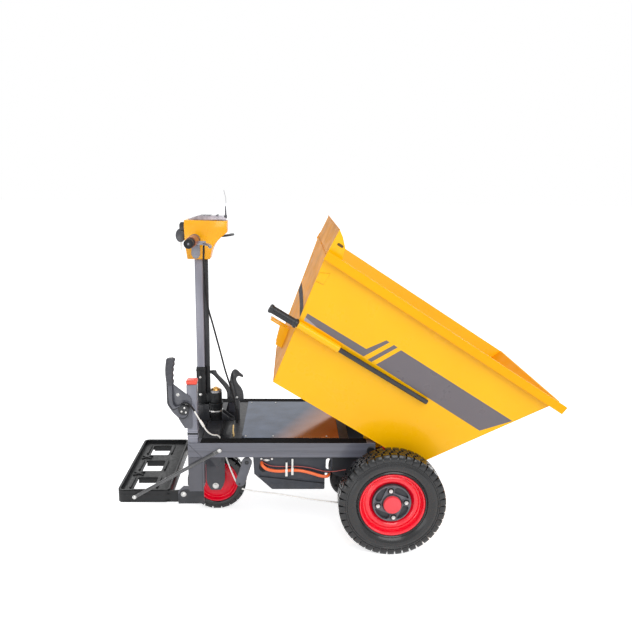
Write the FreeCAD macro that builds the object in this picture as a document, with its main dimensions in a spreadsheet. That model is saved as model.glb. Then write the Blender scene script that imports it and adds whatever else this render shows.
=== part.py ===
import FreeCAD, Part
import math
import os
import re
import Sketcher

# Electric cargo tricycle: two driven wheels under a tipping bucket, one steered wheel
# below the handlebar column, and a step behind it for the rider.
# +X is the direction of travel, +Y the left side, +Z up. The floor is z = 0.

VECTOR = FreeCAD.Vector
doc = FreeCAD.newDocument("cargo_tricycle")
sheet = doc.addObject("Spreadsheet::Sheet", "Sizes")

SIZES = (
    # places of the axles
    ("drive_x", 223, "drive axle ahead of the middle of the machine"),
    ("wheelbase", 733, "drive axle to steered axle"),
    # drive wheels
    ("tyre_radius", 213, "drive tyre"),
    ("tyre_outer", 428, "outer side of the drive tyre from the centre plane"),
    ("tyre_width", 98, ""),
    ("tyre_shoulder", 22, "how far the tread narrows into the side"),
    ("bead_share", 0.31, "bead seat's half width for each unit of tyre width"),
    ("shoulder_share", 0.96, ""),
    ("tread_share", 0.7, ""),
    ("bead_radius", 124, "where the tyre sits on the rim"),
    ("rim_wall", 4, ""),
    ("rim_dish", 26, "wheel disc in from the tyre's outer side"),
    ("hub_radius", 76, "brake drum and bolt face"),
    ("drum_depth", 72, "brake drum behind the wheel disc"),
    ("spigot_radius", 32, "hub through the wheel disc"),
    ("bore_end", 24, "axle's end face behind the bolt face"),
    ("hub_proud", 10, "bolt face out from the wheel disc"),
    ("cap_radius", 36, "red dust cap"),
    ("cap_proud", 16, ""),
    # steered wheel
    ("steer_radius", 132, "steered tyre"),
    ("steer_width", 66, ""),
    ("steer_bead", 92, ""),
    ("steer_shoulder", 16, ""),
    ("steer_hub", 26, ""),
    ("steer_dish", 8, "wheel discs in from the bead"),
    ("steer_rim", 8, ""),
    ("hub_play", 0.5, "end play of the hub between the fork legs"),
    ("steer_axle", 8, "bolt through the fork"),
    # fork and head
    ("fork_outer", 69, "outer face of a fork leg from the centre plane"),
    ("fork_plate", 6, ""),
    ("fork_half", 41.5, "half length of the fork leg"),
    ("fork_crown", 14, "crown plate"),
    ("fork_foot", 22, "fork leg below the axle"),
    ("crown_gap", 14, "crown underside over the tyre"),
    ("stem_radius", 14, "steering stem"),
    ("head_radius", 27, "head tube"),
    ("head_low", 322, ""),
    ("head_top", 500, ""),
    ("cup_tall", 8, "head bearing cup"),
    ("cup_proud", 4, ""),
    ("nut_radius", 20, "brass stem nut"),
    ("nut_tall", 17, ""),
    # frame
    ("rail_top", 418, ""),
    ("rail_tall", 61, ""),
    ("rail_wide", 50, ""),
    ("rail_out", 282, "outer face of a rail from the centre plane"),
    ("rail_past", 85, "rear end behind the steered axle"),
    ("rail_front", 58, "front end behind the drive axle"),
    ("cross_rear_long", 50, "rear cross tube along X"),
    ("cross_head_long", 64, "cross tube that holds the head tube"),
    ("cross_mid_long", 46, "cross tube under the rear of the deck"),
    ("cross_front_long", 40, "cross tube under the front of the deck"),
    ("deck_gap", 128, "deck sheet's rear edge ahead of the steered axle"),
    ("deck_front", 204, ""),
    ("deck_half", 229, ""),
    ("deck_sheet", 3, ""),
    ("leg_long", 64, "rear leg along X"),
    ("leg_low", 229, ""),
    ("foot_past", 129, "foot plate of the leg, rear edge behind the steered axle"),
    ("foot_start", 24, "its front edge behind the steered axle"),
    ("foot_low", 154, ""),
    ("foot_round", 22, "cut rear corner of the foot plate"),
    # step
    ("step_past", 378, "step's rear edge behind the steered axle"),
    ("step_start", 164, "step's front edge behind the steered axle"),
    ("step_half", 276, ""),
    ("step_top", 211, ""),
    ("step_tall", 55, ""),
    ("step_sheet", 3, ""),
    ("step_recess", 15, "tread sheet under the step's rim"),
    ("step_rim", 8, ""),
    ("step_flange", 28, "folded edge under each foot opening"),
    ("step_hole_long", 82, "foot opening along X"),
    ("step_hole_past", 276, "middle of the foot openings behind the steered axle"),
    ("step_hole_wide", 112, "foot opening along Y"),
    ("step_hole_pitch", 176, ""),
    ("step_arm_thick", 6, ""),
    ("arm_lap", 30, "arm's lap on the step's side"),
    ("arm_end", 16, "arm round its bolt"),
    ("step_bolt_past", 107, "bolt of the step arm behind the steered axle"),
    ("step_bolt_up", 196, ""),
    ("step_bolt_radius", 8, ""),
    ("bolt_head", 13, ""),
    ("strut_wide", 16, ""),
    ("strut_thick", 6, ""),
    ("strut_edge", 1, "bar past its bolt's spacer"),
    ("strut_top_ahead", 43, "upper bolt of the strut ahead of the steered axle"),
    ("strut_top_up", 388, ""),
    ("strut_low_past", 307, "lower bolt of the strut behind the steered axle"),
    ("strut_low_up", 185, ""),
    # drive axle, motor and battery
    ("axle_radius", 27, "axle tube"),
    ("axle_play", 2, "axle tube's end short of the hub's bore"),
    ("gear_radius", 44, "gear case round the axle"),
    ("gear_rear", 62, "gear case round the motor shaft"),
    ("gear_half", 58, "gear case half width"),
    ("motor_radius", 84, ""),
    ("motor_back", 152, "motor shaft behind the drive axle"),
    ("motor_up", 222, ""),
    ("motor_right", 205, "motor's outer end right of the centre plane"),
    ("hanger_thick", 8, "plate from rail to axle"),
    ("hanger_rear", 230, "rear edge behind the drive axle"),
    ("hanger_foot", 46, "plate round the axle"),
    ("box_gap", 176, "battery box's rear ahead of the steered axle"),
    ("box_front", 261, ""),
    ("box_half", 261, ""),
    ("box_low", 206, ""),
    ("box_cut_up", 76, "cut corner height"),
    ("box_cut_long", 69, "cut corner length"),
    ("box_lean", 5, "lean of the box's rear side"),
    # post and hand brake
    ("post_past", 86, "post's rear face behind the steered axle"),
    ("post_wide", 43, ""),
    ("post_side", 257, "middle of the post right of the centre plane"),
    ("post_top", 662, ""),
    ("post_cap", 18, ""),
    ("brake_plate", 6, ""),
    ("brake_pivot_past", 94, "hand brake pivot behind the steered axle"),
    ("brake_pivot_up", 565, ""),
    ("brake_drum", 25, "hub of the lever"),
    ("brake_drum_deep", 22, ""),
    ("brake_grip_radius", 15, ""),
    ("brake_grip_long", 107, ""),
    ("bracket_rear", 36, "bracket's upper rear corner behind the pivot"),
    ("bracket_up", 100, ""),
    ("bracket_front", 30, ""),
    ("bracket_waist", 10, ""),
    ("bracket_down", 84, ""),
    ("bracket_shoulder", 48, ""),
    ("lever_heel", 46, ""),
    ("lever_drop", 14, ""),
    ("lever_back", 66, "lever's upright behind the pivot"),
    ("lever_wide", 22, ""),
    ("lever_tall", 108, ""),
    ("lever_thick", 10, ""),
    ("rocker_ahead", 151, "rocker's pin ahead of the steered axle"),
    ("rocker_up", 325, ""),
    ("rocker_end_ahead", 122, "rocker's lower end"),
    ("rocker_end_up", 228, ""),
    ("rocker_round", 19, ""),
    ("rocker_slant", 9, ""),
    ("rocker_pin", 9, ""),
    ("rocker_thick", 8, ""),
    ("rocker_side", 20, "rocker in from the rail's outer face"),
    # bucket hinge
    ("pivot_back", 76, "hinge pin behind the drive axle"),
    ("pivot_drop", 40, "hinge pin below the bucket floor"),
    ("pin_radius", 12, ""),
    ("pin_fit", 0.05, "radial running clearance of the pin in its lug"),
    ("pin_head", 18, "radius of the pin's head"),
    ("pin_head_tall", 6, ""),
    ("pin_past", 4, "pin past the lug"),
    ("lug_thick", 12, ""),
    ("lug_gap", 6, "lug's clearance inside the rail"),
    ("lug_round", 25, ""),
    ("lug_half", 60, "half length of the lug at the bucket floor"),
    ("tilt", 31.3, "bucket's tilt as it stands, degrees"),
    # bucket
    ("bucket_half", 276, "half width at the floor"),
    ("bucket_flare", 0.2, "how far the side leans out for each unit of height"),
    ("bucket_sheet", 3, ""),
    ("floor_gap", 168, "level bucket floor's rear edge ahead of the steered axle"),
    ("floor_ahead", 192, "floor's front edge ahead of the hinge"),
    ("rear_tall", 564, "rear wall's height over the floor"),
    ("rear_lean", 104, ""),
    ("ramp_long", 289, "front ramp along the floor's direction"),
    ("ramp_tall", 539, ""),
    ("board_tall", 88, "head board above the rear wall"),
    ("board_lean", 7, ""),
    ("ear_long", 54, "head board's ears along the side"),
    ("ear_foot", 62, "ear's length at the rim"),
    ("ear_drop", 46, "ear's front corner under the board's top"),
    ("ear_round", 30, "cut corner of the ear"),
    ("rim_tall", 33, "folded rim along the side's top edge"),
    ("rim_out", 25, ""),
    ("rim_past", 33, "how far the rim passes the ramp's lip"),
    ("room", 25, "how far the cutting shapes pass the bucket"),
    # lift lever and catch
    ("guide_radius", 16, ""),
    ("guide_long", 186, ""),
    ("lever_radius", 9, ""),
    ("lever_up", 262, "lever over the bucket floor"),
    ("lever_ahead", 596, "lever's front end ahead of the floor's rear edge"),
    ("grip_radius", 19, ""),
    ("grip_long", 122, ""),
    ("grip_gap", 4, "grip behind its guide tube"),
    ("tongue_up", 160, "catch tongue over the bucket floor"),
    ("tongue_long", 91, ""),
    ("tongue_half", 34, ""),
    ("tongue_thick", 6, ""),
    ("tongue_slot_half", 14, ""),
    ("tongue_bar", 6, "bar behind the slot"),
    ("tongue_web", 8, "strip between the slot and the wall"),
    ("gusset_deep", 42, "web under the tongue"),
    ("gusset_toe", 32, ""),
    ("gusset_tall", 80, ""),
    ("gusset_thick", 6, ""),
    ("latch_half", 6, "latch plate's half thickness"),
    ("latch_rear", 61, "latch's rear edge ahead of the steered axle"),
    ("latch_front", 122, ""),
    ("latch_low", 92, "latch's foot over the rails"),
    ("latch_face", 22, ""),
    ("latch_throat", 91, "throat under the beak"),
    ("latch_throat_up", 176, ""),
    ("beak_hollow", 6, ""),
    ("latch_beak", 118, "tip of the beak"),
    ("latch_beak_up", 198, ""),
    ("latch_top", 82, "top of the hook"),
    ("latch_top_up", 228, ""),
    ("strap_join", 139, "release strap where it leaves the latch"),
    ("strap_wide", 25, ""),
    ("strap_end", 25, "strap's far end behind the steered axle"),
    ("strap_up", 223, ""),
    ("latch_post_long", 22, ""),
    ("latch_post_half", 12, ""),
    # column and handlebar
    ("column_past", 77, "column's rear face behind the steered axle"),
    ("column_long", 34, ""),
    ("column_half", 21, ""),
    ("column_low", 503, ""),
    ("column_top", 1132, ""),
    ("strip_long", 20, "cable duct in front of the column"),
    ("strip_half", 12, ""),
    ("sleeve_wall", 3, "sleeve at the column's foot"),
    ("sleeve_tall", 160, ""),
    ("arm_tall", 45, "arm from the stem to the column"),
    ("cowl_half", 56, ""),
    ("cowl_past", 112, ""),
    ("cowl_reach", 62, "cowl's front ahead of the steered axle"),
    ("cowl_top", 1295, ""),
    ("cowl_chin", 48, "height of the cowl's front face"),
    ("cowl_flare", 70, "how far the flare reaches past the neck"),
    ("cowl_flare_tall", 115, ""),
    ("neck_past", 105, ""),
    ("neck_start", 8, "cowl's neck, front face behind the steered axle"),
    ("panel_tall", 9, ""),
    ("panel_margin", 16, ""),
    ("key_low", 1250, "key lock block"),
    ("key_tall", 33, ""),
    ("key_long", 26, ""),
    ("key_wide", 40, ""),
    ("fob_half", 13, ""),
    ("fob_long", 54, "key fob hanging under the lock"),
    ("fob_thick", 8, ""),
    ("whip_ahead", 39, "upright wire ahead of the steered axle"),
    ("whip_radius", 2, ""),
    ("whip_tall", 112, ""),
    ("cable_radius", 4, "black cable from the hand lever"),
    ("brake_cable_radius", 3, ""),
    ("line_gap", 30, "brake line in from the drive tyre"),
    ("conduit_radius", 6.5, "battery conduit"),
    ("bar_past", 59, "handlebar behind the steered axle"),
    ("bar_up", 1222, ""),
    ("bar_radius", 11, ""),
    ("bar_half", 296, ""),
    ("grip_bar_radius", 17, ""),
    ("grip_bar_long", 128, ""),
    ("grip_end", 4, "grip's end cap past the bar"),
    ("perch_wide", 18, "lever's clamp along the bar"),
    ("perch_radius", 17, ""),
    ("perch_reach", 48, "clamp ahead of the bar"),
    ("blade_wide", 14, ""),
    ("blade_tall", 8, ""),
    ("blade_out", 80, "lever's tip ahead of the bar"),
    ("lever_short", 12, "lever's tip in from the bar's end"),
)


def fill_sheet():
    for row, (name, value, note) in enumerate(SIZES, start=1):
        sheet.set("A%d" % row, name)
        sheet.set("B%d" % row, str(value))
        sheet.set("C%d" % row, note)
        sheet.setAlias("B%d" % row, name)
    doc.recompute()


fill_sheet()
NAMES = sorted((row[0] for row in SIZES), key=len, reverse=True)
WORD = re.compile(r"\b(" + "|".join(NAMES) + r")\b")


def of_sheet(text):
    """The same expression with each size read from the sheet."""
    return WORD.sub(r"Sizes.\1", str(text))


def size(text):
    """The number that an expression of sizes gives now."""
    values = {name: float(sheet.get(name)) for name in NAMES}
    return calculate(text, values)


def calculate(text, values):
    """Sums, products and brackets of sizes, worked out without the document."""
    tokens = re.findall(r"[A-Za-z_]+|[0-9.]+|[-+*/()]", str(text))
    place = 0

    def term():
        nonlocal place
        token = tokens[place]
        place += 1
        if token == "-":
            return -term()
        if token == "(":
            inside = total()
            place += 1
            return inside
        if token in ("sin", "cos", "atan", "sqrt"):
            place += 1
            inside = total()
            place += 1
            if token == "sqrt":
                return math.sqrt(inside)
            if token == "atan":
                return math.degrees(math.atan(inside))
            return getattr(math, token)(math.radians(inside))
        return values[token] if token in values else float(token)

    def product():
        nonlocal place
        result = term()
        while place < len(tokens) and tokens[place] in "*/":
            sign = tokens[place]
            place += 1
            other = term()
            result = result * other if sign == "*" else result / other
        return result

    def total():
        nonlocal place
        result = product()
        while place < len(tokens) and tokens[place] in "+-":
            sign = tokens[place]
            place += 1
            other = product()
            result = result + other if sign == "+" else result - other
        return result

    return total()


# ---------------------------------------------------------------- making the pieces

kept = []


def bind(thing, **links):
    for place, text in links.items():
        thing.setExpression(place.replace("__", "."), of_sheet(text))


def set_down(thing, spot):
    """Ties the place of a piece to the sheet."""
    x, y, z = spot
    bind(thing, Placement__Base__x=x, Placement__Base__y=y, Placement__Base__z=z)


def keep(thing, label):
    """Names a finished piece, which gets its own file."""
    thing.Label = label
    kept.append(thing)
    return thing


def box(name, x, y, z):
    """A block between two expressions along each axis."""
    block = doc.addObject("Part::Box", name)
    bind(block, Length="(%s) - (%s)" % (x[1], x[0]), Width="(%s) - (%s)" % (y[1], y[0]),
         Height="(%s) - (%s)" % (z[1], z[0]))
    set_down(block, (x[0], y[0], z[0]))
    return block


TURNS = {"X": (VECTOR(0, 1, 0), 90), "Y": (VECTOR(1, 0, 0), -90), "Z": (VECTOR(0, 0, 1), 0)}


def rod(name, axis, spot, radius, length):
    """A round bar from a spot along +X, +Y or +Z."""
    bar = doc.addObject("Part::Cylinder", name)
    bar.Placement = FreeCAD.Placement(VECTOR(), FreeCAD.Rotation(*TURNS[axis]))
    bind(bar, Radius=radius, Height=length)
    set_down(bar, spot)
    return bar


def outline_sketch(body, plane, outline):
    """A closed outline whose every corner is tied to the sheet."""
    sketch = body.newObject("Sketcher::SketchObject", body.Name + "_outline")
    base = [item for item in body.Origin.OriginFeatures if item.Role == plane + "_Plane"][0]
    sketch.AttachmentSupport = [(base, "")]
    sketch.MapMode = "FlatFace"
    corners = [(size(across), size(up)) for across, up in outline]
    count = len(corners)
    for number, corner in enumerate(corners):
        after = corners[(number + 1) % count]
        sketch.addGeometry(Part.LineSegment(VECTOR(*corner, 0), VECTOR(*after, 0)), False)
    for number in range(count):
        sketch.addConstraint(Sketcher.Constraint("Coincident", number, 2, (number + 1) % count, 1))
    for number, texts in enumerate(outline):
        for kind, text, value in zip(("DistanceX", "DistanceY"), texts, corners[number]):
            name = "corner%d_%s" % (number, kind[-1].lower())
            index = sketch.addConstraint(Sketcher.Constraint(kind, number, 1, value))
            sketch.renameConstraint(index, name)
            sketch.setExpression("Constraints." + name, of_sheet(text))
    return sketch


def plate(name, plane, outline, thick, spot=("0", "0", "0")):
    """A plate from an outline in the XY, XZ or YZ plane, its thickness along +Z, +Y or +X."""
    body = doc.addObject("PartDesign::Body", name)
    pad = body.newObject("PartDesign::Pad", name + "_pad")
    pad.Profile = outline_sketch(body, plane, outline)
    pad.Reversed = plane == "XZ"
    bind(pad, Length=thick)
    body.Tip = pad
    set_down(body, spot)
    return body


def turned(name, outline, spot=("0", "0", "0")):
    """A body of revolution about the Y axis from an outline of radius and y."""
    body = doc.addObject("PartDesign::Body", name)
    round_body = body.newObject("PartDesign::Revolution", name + "_turn")
    sketch = outline_sketch(body, "XY", outline)
    round_body.Profile = sketch
    round_body.ReferenceAxis = (sketch, ["V_Axis"])
    round_body.Angle = 360
    body.Tip = round_body
    set_down(body, spot)
    return body


def joined(name, pieces):
    union = doc.addObject("Part::MultiFuse", name)
    union.Shapes = pieces
    return union


def cut(name, piece, tool):
    result = doc.addObject("Part::Cut", name)
    result.Base = piece
    result.Tool = tool
    return result


def common(name, first, second):
    result = doc.addObject("Part::Common", name)
    result.Base = first
    result.Tool = second
    return result


def both_sides(name, maker):
    """The same piece made on the left (side 1) and on the right (side -1)."""
    return [maker(name + "_left", 1), maker(name + "_right", -1)]


def group(name, pieces):
    """Like pieces that don't touch, kept in one file."""
    bundle = doc.addObject("Part::Compound", name)
    bundle.Links = pieces
    return bundle


def span(side, low, high):
    """Two distances out from the centre plane, in rising y on either side."""
    return (low, high) if side == 1 else ("-(%s)" % high, "-(%s)" % low)


def ahead(text):
    """An x counted back from the drive axle."""
    return "drive_x - (%s)" % text


def aft(text):
    """An x counted back from the steered axle."""
    return "drive_x - wheelbase - (%s)" % text


# ---------------------------------------------------------------- frame

STEER_X = "drive_x - wheelbase"
RAIL_LOW = "rail_top - rail_tall"
RAIL_IN = "rail_out - rail_wide"
STEP_IN = "step_half - step_sheet"
FOOT_THICK = "rail_out - step_half + step_sheet"
PIVOT_X = "drive_x - pivot_back"
PIVOT_Z = "rail_top - rail_tall / 2"


def rail(name, side):
    beam = box(name + "_tube", (aft("rail_past"), ahead("rail_front")),
               span(side, RAIL_IN, "rail_out"), (RAIL_LOW, "rail_top"))
    hole = rod(name + "_hole", "Y", (PIVOT_X, span(side, RAIL_IN, "rail_out")[0], PIVOT_Z),
               "pin_radius", "rail_wide")
    return keep(cut(name, beam, hole), name)


def cross_tube(name, rear, front):
    return box(name, (rear, front), ("-(%s)" % RAIL_IN, RAIL_IN), (RAIL_LOW, "rail_top"))


def frame():
    both_sides("rail", rail)
    keep(group("cross_tubes", [
        cross_tube("cross_rear", aft("rail_past"), aft("rail_past - cross_rear_long")),
        cross_tube("cross_mid", aft("-deck_gap + cross_mid_long"), aft("-deck_gap")),
        cross_tube("cross_front", ahead("deck_front"), ahead("deck_front - cross_front_long"))]),
         "cross_tubes")
    tube = box("cross_head_tube", (aft("cross_head_long / 2"), aft("-cross_head_long / 2")),
               ("-(%s)" % RAIL_IN, RAIL_IN), (RAIL_LOW, "rail_top"))
    hole = rod("cross_head_hole", "Z", (STEER_X, "0", RAIL_LOW), "head_radius", "rail_tall")
    keep(cut("cross_head", tube, hole), "cross_head")
    keep(box("deck_plate", (aft("-deck_gap"), ahead("deck_front")), ("-deck_half", "deck_half"),
             ("rail_top", "rail_top + deck_sheet")), "deck_plate")
    keep(group("rear_legs", both_sides("rear_leg", rear_leg)), "rear_legs")


def rear_leg(name, side):
    """Leg under the rail with its foot plate, which carries the step's arm."""
    leg = box(name + "_tube", (aft("rail_past"), aft("rail_past - leg_long")),
              span(side, RAIL_IN, "rail_out"), ("leg_low", RAIL_LOW))
    outline = ((aft("foot_past"), "foot_low"), (aft("foot_start"), "foot_low"),
               (aft("foot_start"), "leg_low"), (aft("foot_past - foot_round"), "leg_low"),
               (aft("foot_past"), "leg_low - foot_round"))
    low = span(side, STEP_IN, "rail_out")[0]
    foot = plate(name + "_foot", "XZ", outline, FOOT_THICK, ("0", low, "0"))
    hole = rod(name + "_hole", "Y", (aft("step_bolt_past"), low, "step_bolt_up"),
               "step_bolt_radius", FOOT_THICK)
    return joined(name, [leg, cut(name + "_drilled", foot, hole)])


# ---------------------------------------------------------------- head tube, fork, column

CROWN_LOW = "2 * steer_radius + crown_gap"


def head():
    """Head tube through its cross tube, with a bearing cup at each end."""
    steer_x = STEER_X
    tube = rod("head_outside", "Z", (steer_x, "0", "head_low"), "head_radius", "head_top - head_low")
    cups = [rod("head_cup_%s" % end, "Z", (steer_x, "0", low), "head_radius + cup_proud", "cup_tall")
            for end, low in (("low", "head_low"), ("top", "head_top - cup_tall"))]
    bore = rod("head_bore", "Z", (steer_x, "0", "head_low"), "stem_radius + pin_fit",
               "head_top - head_low")
    keep(cut("head_tube", joined("head_body", [tube] + cups), bore), "head_tube")


def fork_leg(name, side):
    foot = "steer_radius - fork_foot"
    outline = (("-fork_half", "steer_radius"), ("-fork_half / 2", foot), ("fork_half / 2", foot),
               ("fork_half", "steer_radius"), ("fork_half", CROWN_LOW), ("-fork_half", CROWN_LOW))
    low = span(side, "fork_outer - fork_plate", "fork_outer")[0]
    leg = plate(name + "_plate", "XZ", outline, "fork_plate", (STEER_X, low, "0"))
    hole = rod(name + "_hole", "Y", (STEER_X, low, "steer_radius"), "steer_axle",
               "fork_plate")
    return cut(name, leg, hole)


def fork():
    steer_x = STEER_X
    crown = box("fork_crown_plate", (aft("fork_half"), aft("-fork_half")),
                ("-fork_outer", "fork_outer"), (CROWN_LOW, CROWN_LOW + " + fork_crown"))
    seat = rod("fork_seat", "Z", (steer_x, "0", CROWN_LOW + " + fork_crown"), "head_radius",
               "head_low - (%s) - fork_crown" % CROWN_LOW)
    stem = rod("fork_stem", "Z", (steer_x, "0", CROWN_LOW), "stem_radius",
               "head_top + arm_tall + nut_tall - (%s)" % CROWN_LOW)
    keep(joined("fork", both_sides("fork_leg", fork_leg) + [crown, seat, stem]), "fork")
    keep(rod("steer_axle_bolt", "Y", (steer_x, "-fork_outer - steer_axle", "steer_radius"),
             "steer_axle", "2 * (fork_outer + steer_axle)"), "steer_axle_bolt")


def column():
    """Column behind the stem, in a sleeve on an arm clamped between head tube and nut."""
    front = "column_past - column_long"
    keep(joined("column", [
        box("column_tube", (aft("column_past"), aft(front)), ("-column_half", "column_half"),
            ("column_low", "column_top")),
        box("column_duct", (aft(front), aft(front + " - strip_long")),
            ("-strip_half", "strip_half"), ("column_low + sleeve_tall", "column_top"))]), "column")
    sleeve = box("sleeve_outside", (aft("column_past + sleeve_wall"), aft(front + " - sleeve_wall")),
                 ("-column_half - sleeve_wall", "column_half + sleeve_wall"),
                 ("column_low - sleeve_wall", "column_low + sleeve_tall"))
    inside = box("sleeve_inside", (aft("column_past"), aft(front)),
                 ("-column_half", "column_half"), ("column_low", "column_low + sleeve_tall"))
    arm = box("stem_arm_bar", (aft(front + " - sleeve_wall"), STEER_X),
              ("-nut_radius", "nut_radius"), ("head_top", "head_top + arm_tall"))
    eye = rod("stem_arm_eye", "Z", (STEER_X, "0", "head_top"), "head_radius", "arm_tall")
    bore = rod("stem_arm_bore", "Z", (STEER_X, "0", "head_top"), "stem_radius", "arm_tall")
    clamp = cut("stem_clamp", joined("stem_arm_body", [arm, eye]), bore)
    keep(joined("stem_arm", [cut("sleeve", sleeve, inside), clamp]), "stem_arm")
    nut_low = "head_top + arm_tall"
    keep(cut("stem_nut", rod("stem_nut_body", "Z", (STEER_X, "0", nut_low), "nut_radius", "nut_tall"),
             rod("stem_nut_bore", "Z", (STEER_X, "0", nut_low), "stem_radius", "nut_tall")), "stem_nut")


def cowl():
    """Yellow cowl round the handlebar, flared from its neck, with its panel on top."""
    outline = ((aft("neck_past"), "column_top"), (aft("neck_start"), "column_top"),
               (aft("neck_start - cowl_flare / 8"), "column_top + cowl_flare_tall / 3"),
               (aft("neck_start - cowl_flare / 3"), "column_top + cowl_flare_tall * 2 / 3"),
               (aft("-cowl_reach"), "cowl_top - cowl_chin"), (aft("-cowl_reach"), "cowl_top"),
               (aft("cowl_past"), "cowl_top"))
    low = "-cowl_half"
    shell = plate("cowl_block", "XZ", outline, "2 * cowl_half", ("0", low, "0"))
    hole = rod("cowl_hole", "Y", (aft("bar_past"), low, "bar_up"), "bar_radius", "2 * cowl_half")
    keep(cut("cowl", shell, hole), "cowl")
    keep(box("dash_panel", (aft("cowl_past - panel_margin"), aft("-cowl_reach + panel_margin")),
             ("-cowl_half + panel_margin", "cowl_half - panel_margin"),
             ("cowl_top", "cowl_top + panel_tall")), "dash_panel")


def switches():
    """Key lock on the cowl's rear with its hanging fob, and the whip wire on top."""
    lock = box("key_lock_block", (aft("cowl_past + key_long"), aft("cowl_past")),
               ("-key_wide / 2", "key_wide / 2"), ("key_low", "key_low + key_tall"))
    middle = "cowl_past + key_long / 2"
    outline = tuple((aft("%s + (%s)" % (middle, back)), "key_low - (%s)" % down) for back, down in (
        ("-fob_half / 2", "0"), ("-fob_half", "fob_long / 3"), ("-fob_half / 2", "fob_long"),
        ("fob_half / 2", "fob_long"), ("fob_half", "fob_long / 3"), ("fob_half / 2", "0")))
    fob = plate("key_fob", "XZ", outline, "fob_thick", ("0", "-fob_thick / 2", "0"))
    keep(joined("key_lock", [lock, fob]), "key_lock")
    keep(rod("whip_wire", "Z", (aft("-whip_ahead"), "0", "cowl_top + panel_tall"), "whip_radius",
             "whip_tall"), "whip_wire")


def bar_lever(name, side):
    """Hand lever on its clamp round the bar, inside the grip."""
    low, high = span(side, "bar_half - grip_bar_long - perch_wide", "bar_half - grip_bar_long")
    ring = rod(name + "_ring", "Y", (aft("bar_past"), low, "bar_up"), "perch_radius", "perch_wide")
    block = box(name + "_block", (aft("bar_past"), aft("bar_past - perch_reach")), (low, high),
                ("bar_up - perch_radius", "bar_up"))
    bore = rod(name + "_bore", "Y", (aft("bar_past"), low, "bar_up"), "bar_radius", "perch_wide")
    root, tip = "bar_half - grip_bar_long", "bar_half - lever_short"
    outline = [(aft("bar_past - perch_reach + blade_wide"), root), (aft("bar_past - blade_out"), tip),
               (aft("bar_past - blade_out - blade_wide"), tip), (aft("bar_past - perch_reach"), root)]
    if side == -1:
        outline = [(across, "-(%s)" % out) for across, out in reversed(outline)]
    blade = plate(name + "_blade", "XY", outline, "blade_tall", ("0", "0", "bar_up - perch_radius"))
    return joined(name, [cut(name + "_perch", joined(name + "_body", [ring, block]), bore), blade])


def handlebar():
    keep(rod("handlebar", "Y", (aft("bar_past"), "-bar_half", "bar_up"), "bar_radius",
             "2 * bar_half"), "handlebar")
    grips = []
    for side, word in ((1, "left"), (-1, "right")):
        low = span(side, "bar_half - grip_bar_long", "bar_half + grip_end")[0]
        inner = span(side, "bar_half - grip_bar_long", "bar_half")[0]
        grips.append(cut("grip_" + word,
                         rod("grip_%s_outside" % word, "Y", (aft("bar_past"), low, "bar_up"),
                             "grip_bar_radius", "grip_bar_long + grip_end"),
                         rod("grip_%s_bore" % word, "Y", (aft("bar_past"), inner, "bar_up"),
                             "bar_radius", "grip_bar_long")))
    keep(group("hand_grips", grips), "hand_grips")
    keep(group("bar_levers", both_sides("bar_lever", bar_lever)), "bar_levers")


# ---------------------------------------------------------------- wheels

def tyre_outline(radius, bead, width, shoulder):
    """Half of the outline, from bead to tread, and its mirror."""
    half = "%s / 2" % width
    side = ((bead, "%s * bead_share" % width), ("(%s + %s) / 2" % (radius, bead), half),
            (radius + " - " + shoulder, half + " * shoulder_share"), (radius, half + " * tread_share"))
    return tuple((out, "-(%s)" % across) for out, across in side) + tuple(reversed(side))


TYRE_MIDDLE = "tyre_outer - tyre_width / 2"


def drive_wheel(side, word):
    middle = span(side, TYRE_MIDDLE, "0")[0] if side == 1 else "-(%s)" % TYRE_MIDDLE
    spot = ("drive_x", middle, "tyre_radius")
    keep(turned("tyre_" + word, tyre_outline("tyre_radius", "bead_radius", "tyre_width",
                                             "tyre_shoulder"), spot), "tyre_" + word)
    seat = "tyre_width * bead_share"
    out = "" if side == 1 else "-"
    disc = "%s(tyre_width / 2 - rim_dish)" % out
    back = "%s(tyre_width / 2 - rim_dish - rim_wall)" % out
    ring = turned("rim_ring_" + word, (("bead_radius - rim_wall", "-" + seat), ("bead_radius", "-" + seat),
                                       ("bead_radius", seat), ("bead_radius - rim_wall", seat)), spot)
    web = turned("rim_web_" + word, (("spigot_radius", back), ("bead_radius - rim_wall", back),
                                     ("bead_radius - rim_wall", disc), ("spigot_radius", disc)), spot)
    keep(joined("rim_" + word, [ring, web]), "rim_" + word)
    face = "%s(tyre_width / 2 - rim_dish + hub_proud)" % out
    top = "%s(tyre_width / 2 - rim_dish + hub_proud + cap_proud)" % out
    drum = "%s(tyre_width / 2 - rim_dish - rim_wall - drum_depth)" % out
    end = "%s(tyre_width / 2 - rim_dish + hub_proud - bore_end)" % out
    bore = "axle_radius + pin_fit"
    keep(turned("hub_" + word, ((bore, drum), ("hub_radius", drum), ("hub_radius", back),
                                ("spigot_radius", back), ("spigot_radius", disc), ("hub_radius", disc),
                                ("hub_radius", face), ("cap_radius", face), ("cap_radius", top),
                                ("0", top), ("0", end), (bore, end)), spot), "hub_" + word)


def steered_wheel():
    spot = (STEER_X, "0", "steer_radius")
    keep(turned("tyre_steer", tyre_outline("steer_radius", "steer_bead", "steer_width",
                                           "steer_shoulder"), spot), "tyre_steer")
    seat = "steer_width * bead_share"
    disc = seat + " - steer_dish"
    inner = "steer_bead - steer_rim"
    hub = "fork_outer - fork_plate - hub_play"
    bore = "steer_axle + pin_fit"
    keep(turned("rim_steer", ((bore, "-(%s)" % hub), ("steer_hub", "-(%s)" % hub),
                              ("steer_hub", "-(%s)" % disc), (inner, "-(%s)" % disc), (inner, "-" + seat),
                              ("steer_bead", "-" + seat), ("steer_bead", seat), (inner, seat),
                              (inner, disc), ("steer_hub", disc), ("steer_hub", hub), (bore, hub)),
                spot), "rim_steer")


# ---------------------------------------------------------------- drive axle, battery

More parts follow.
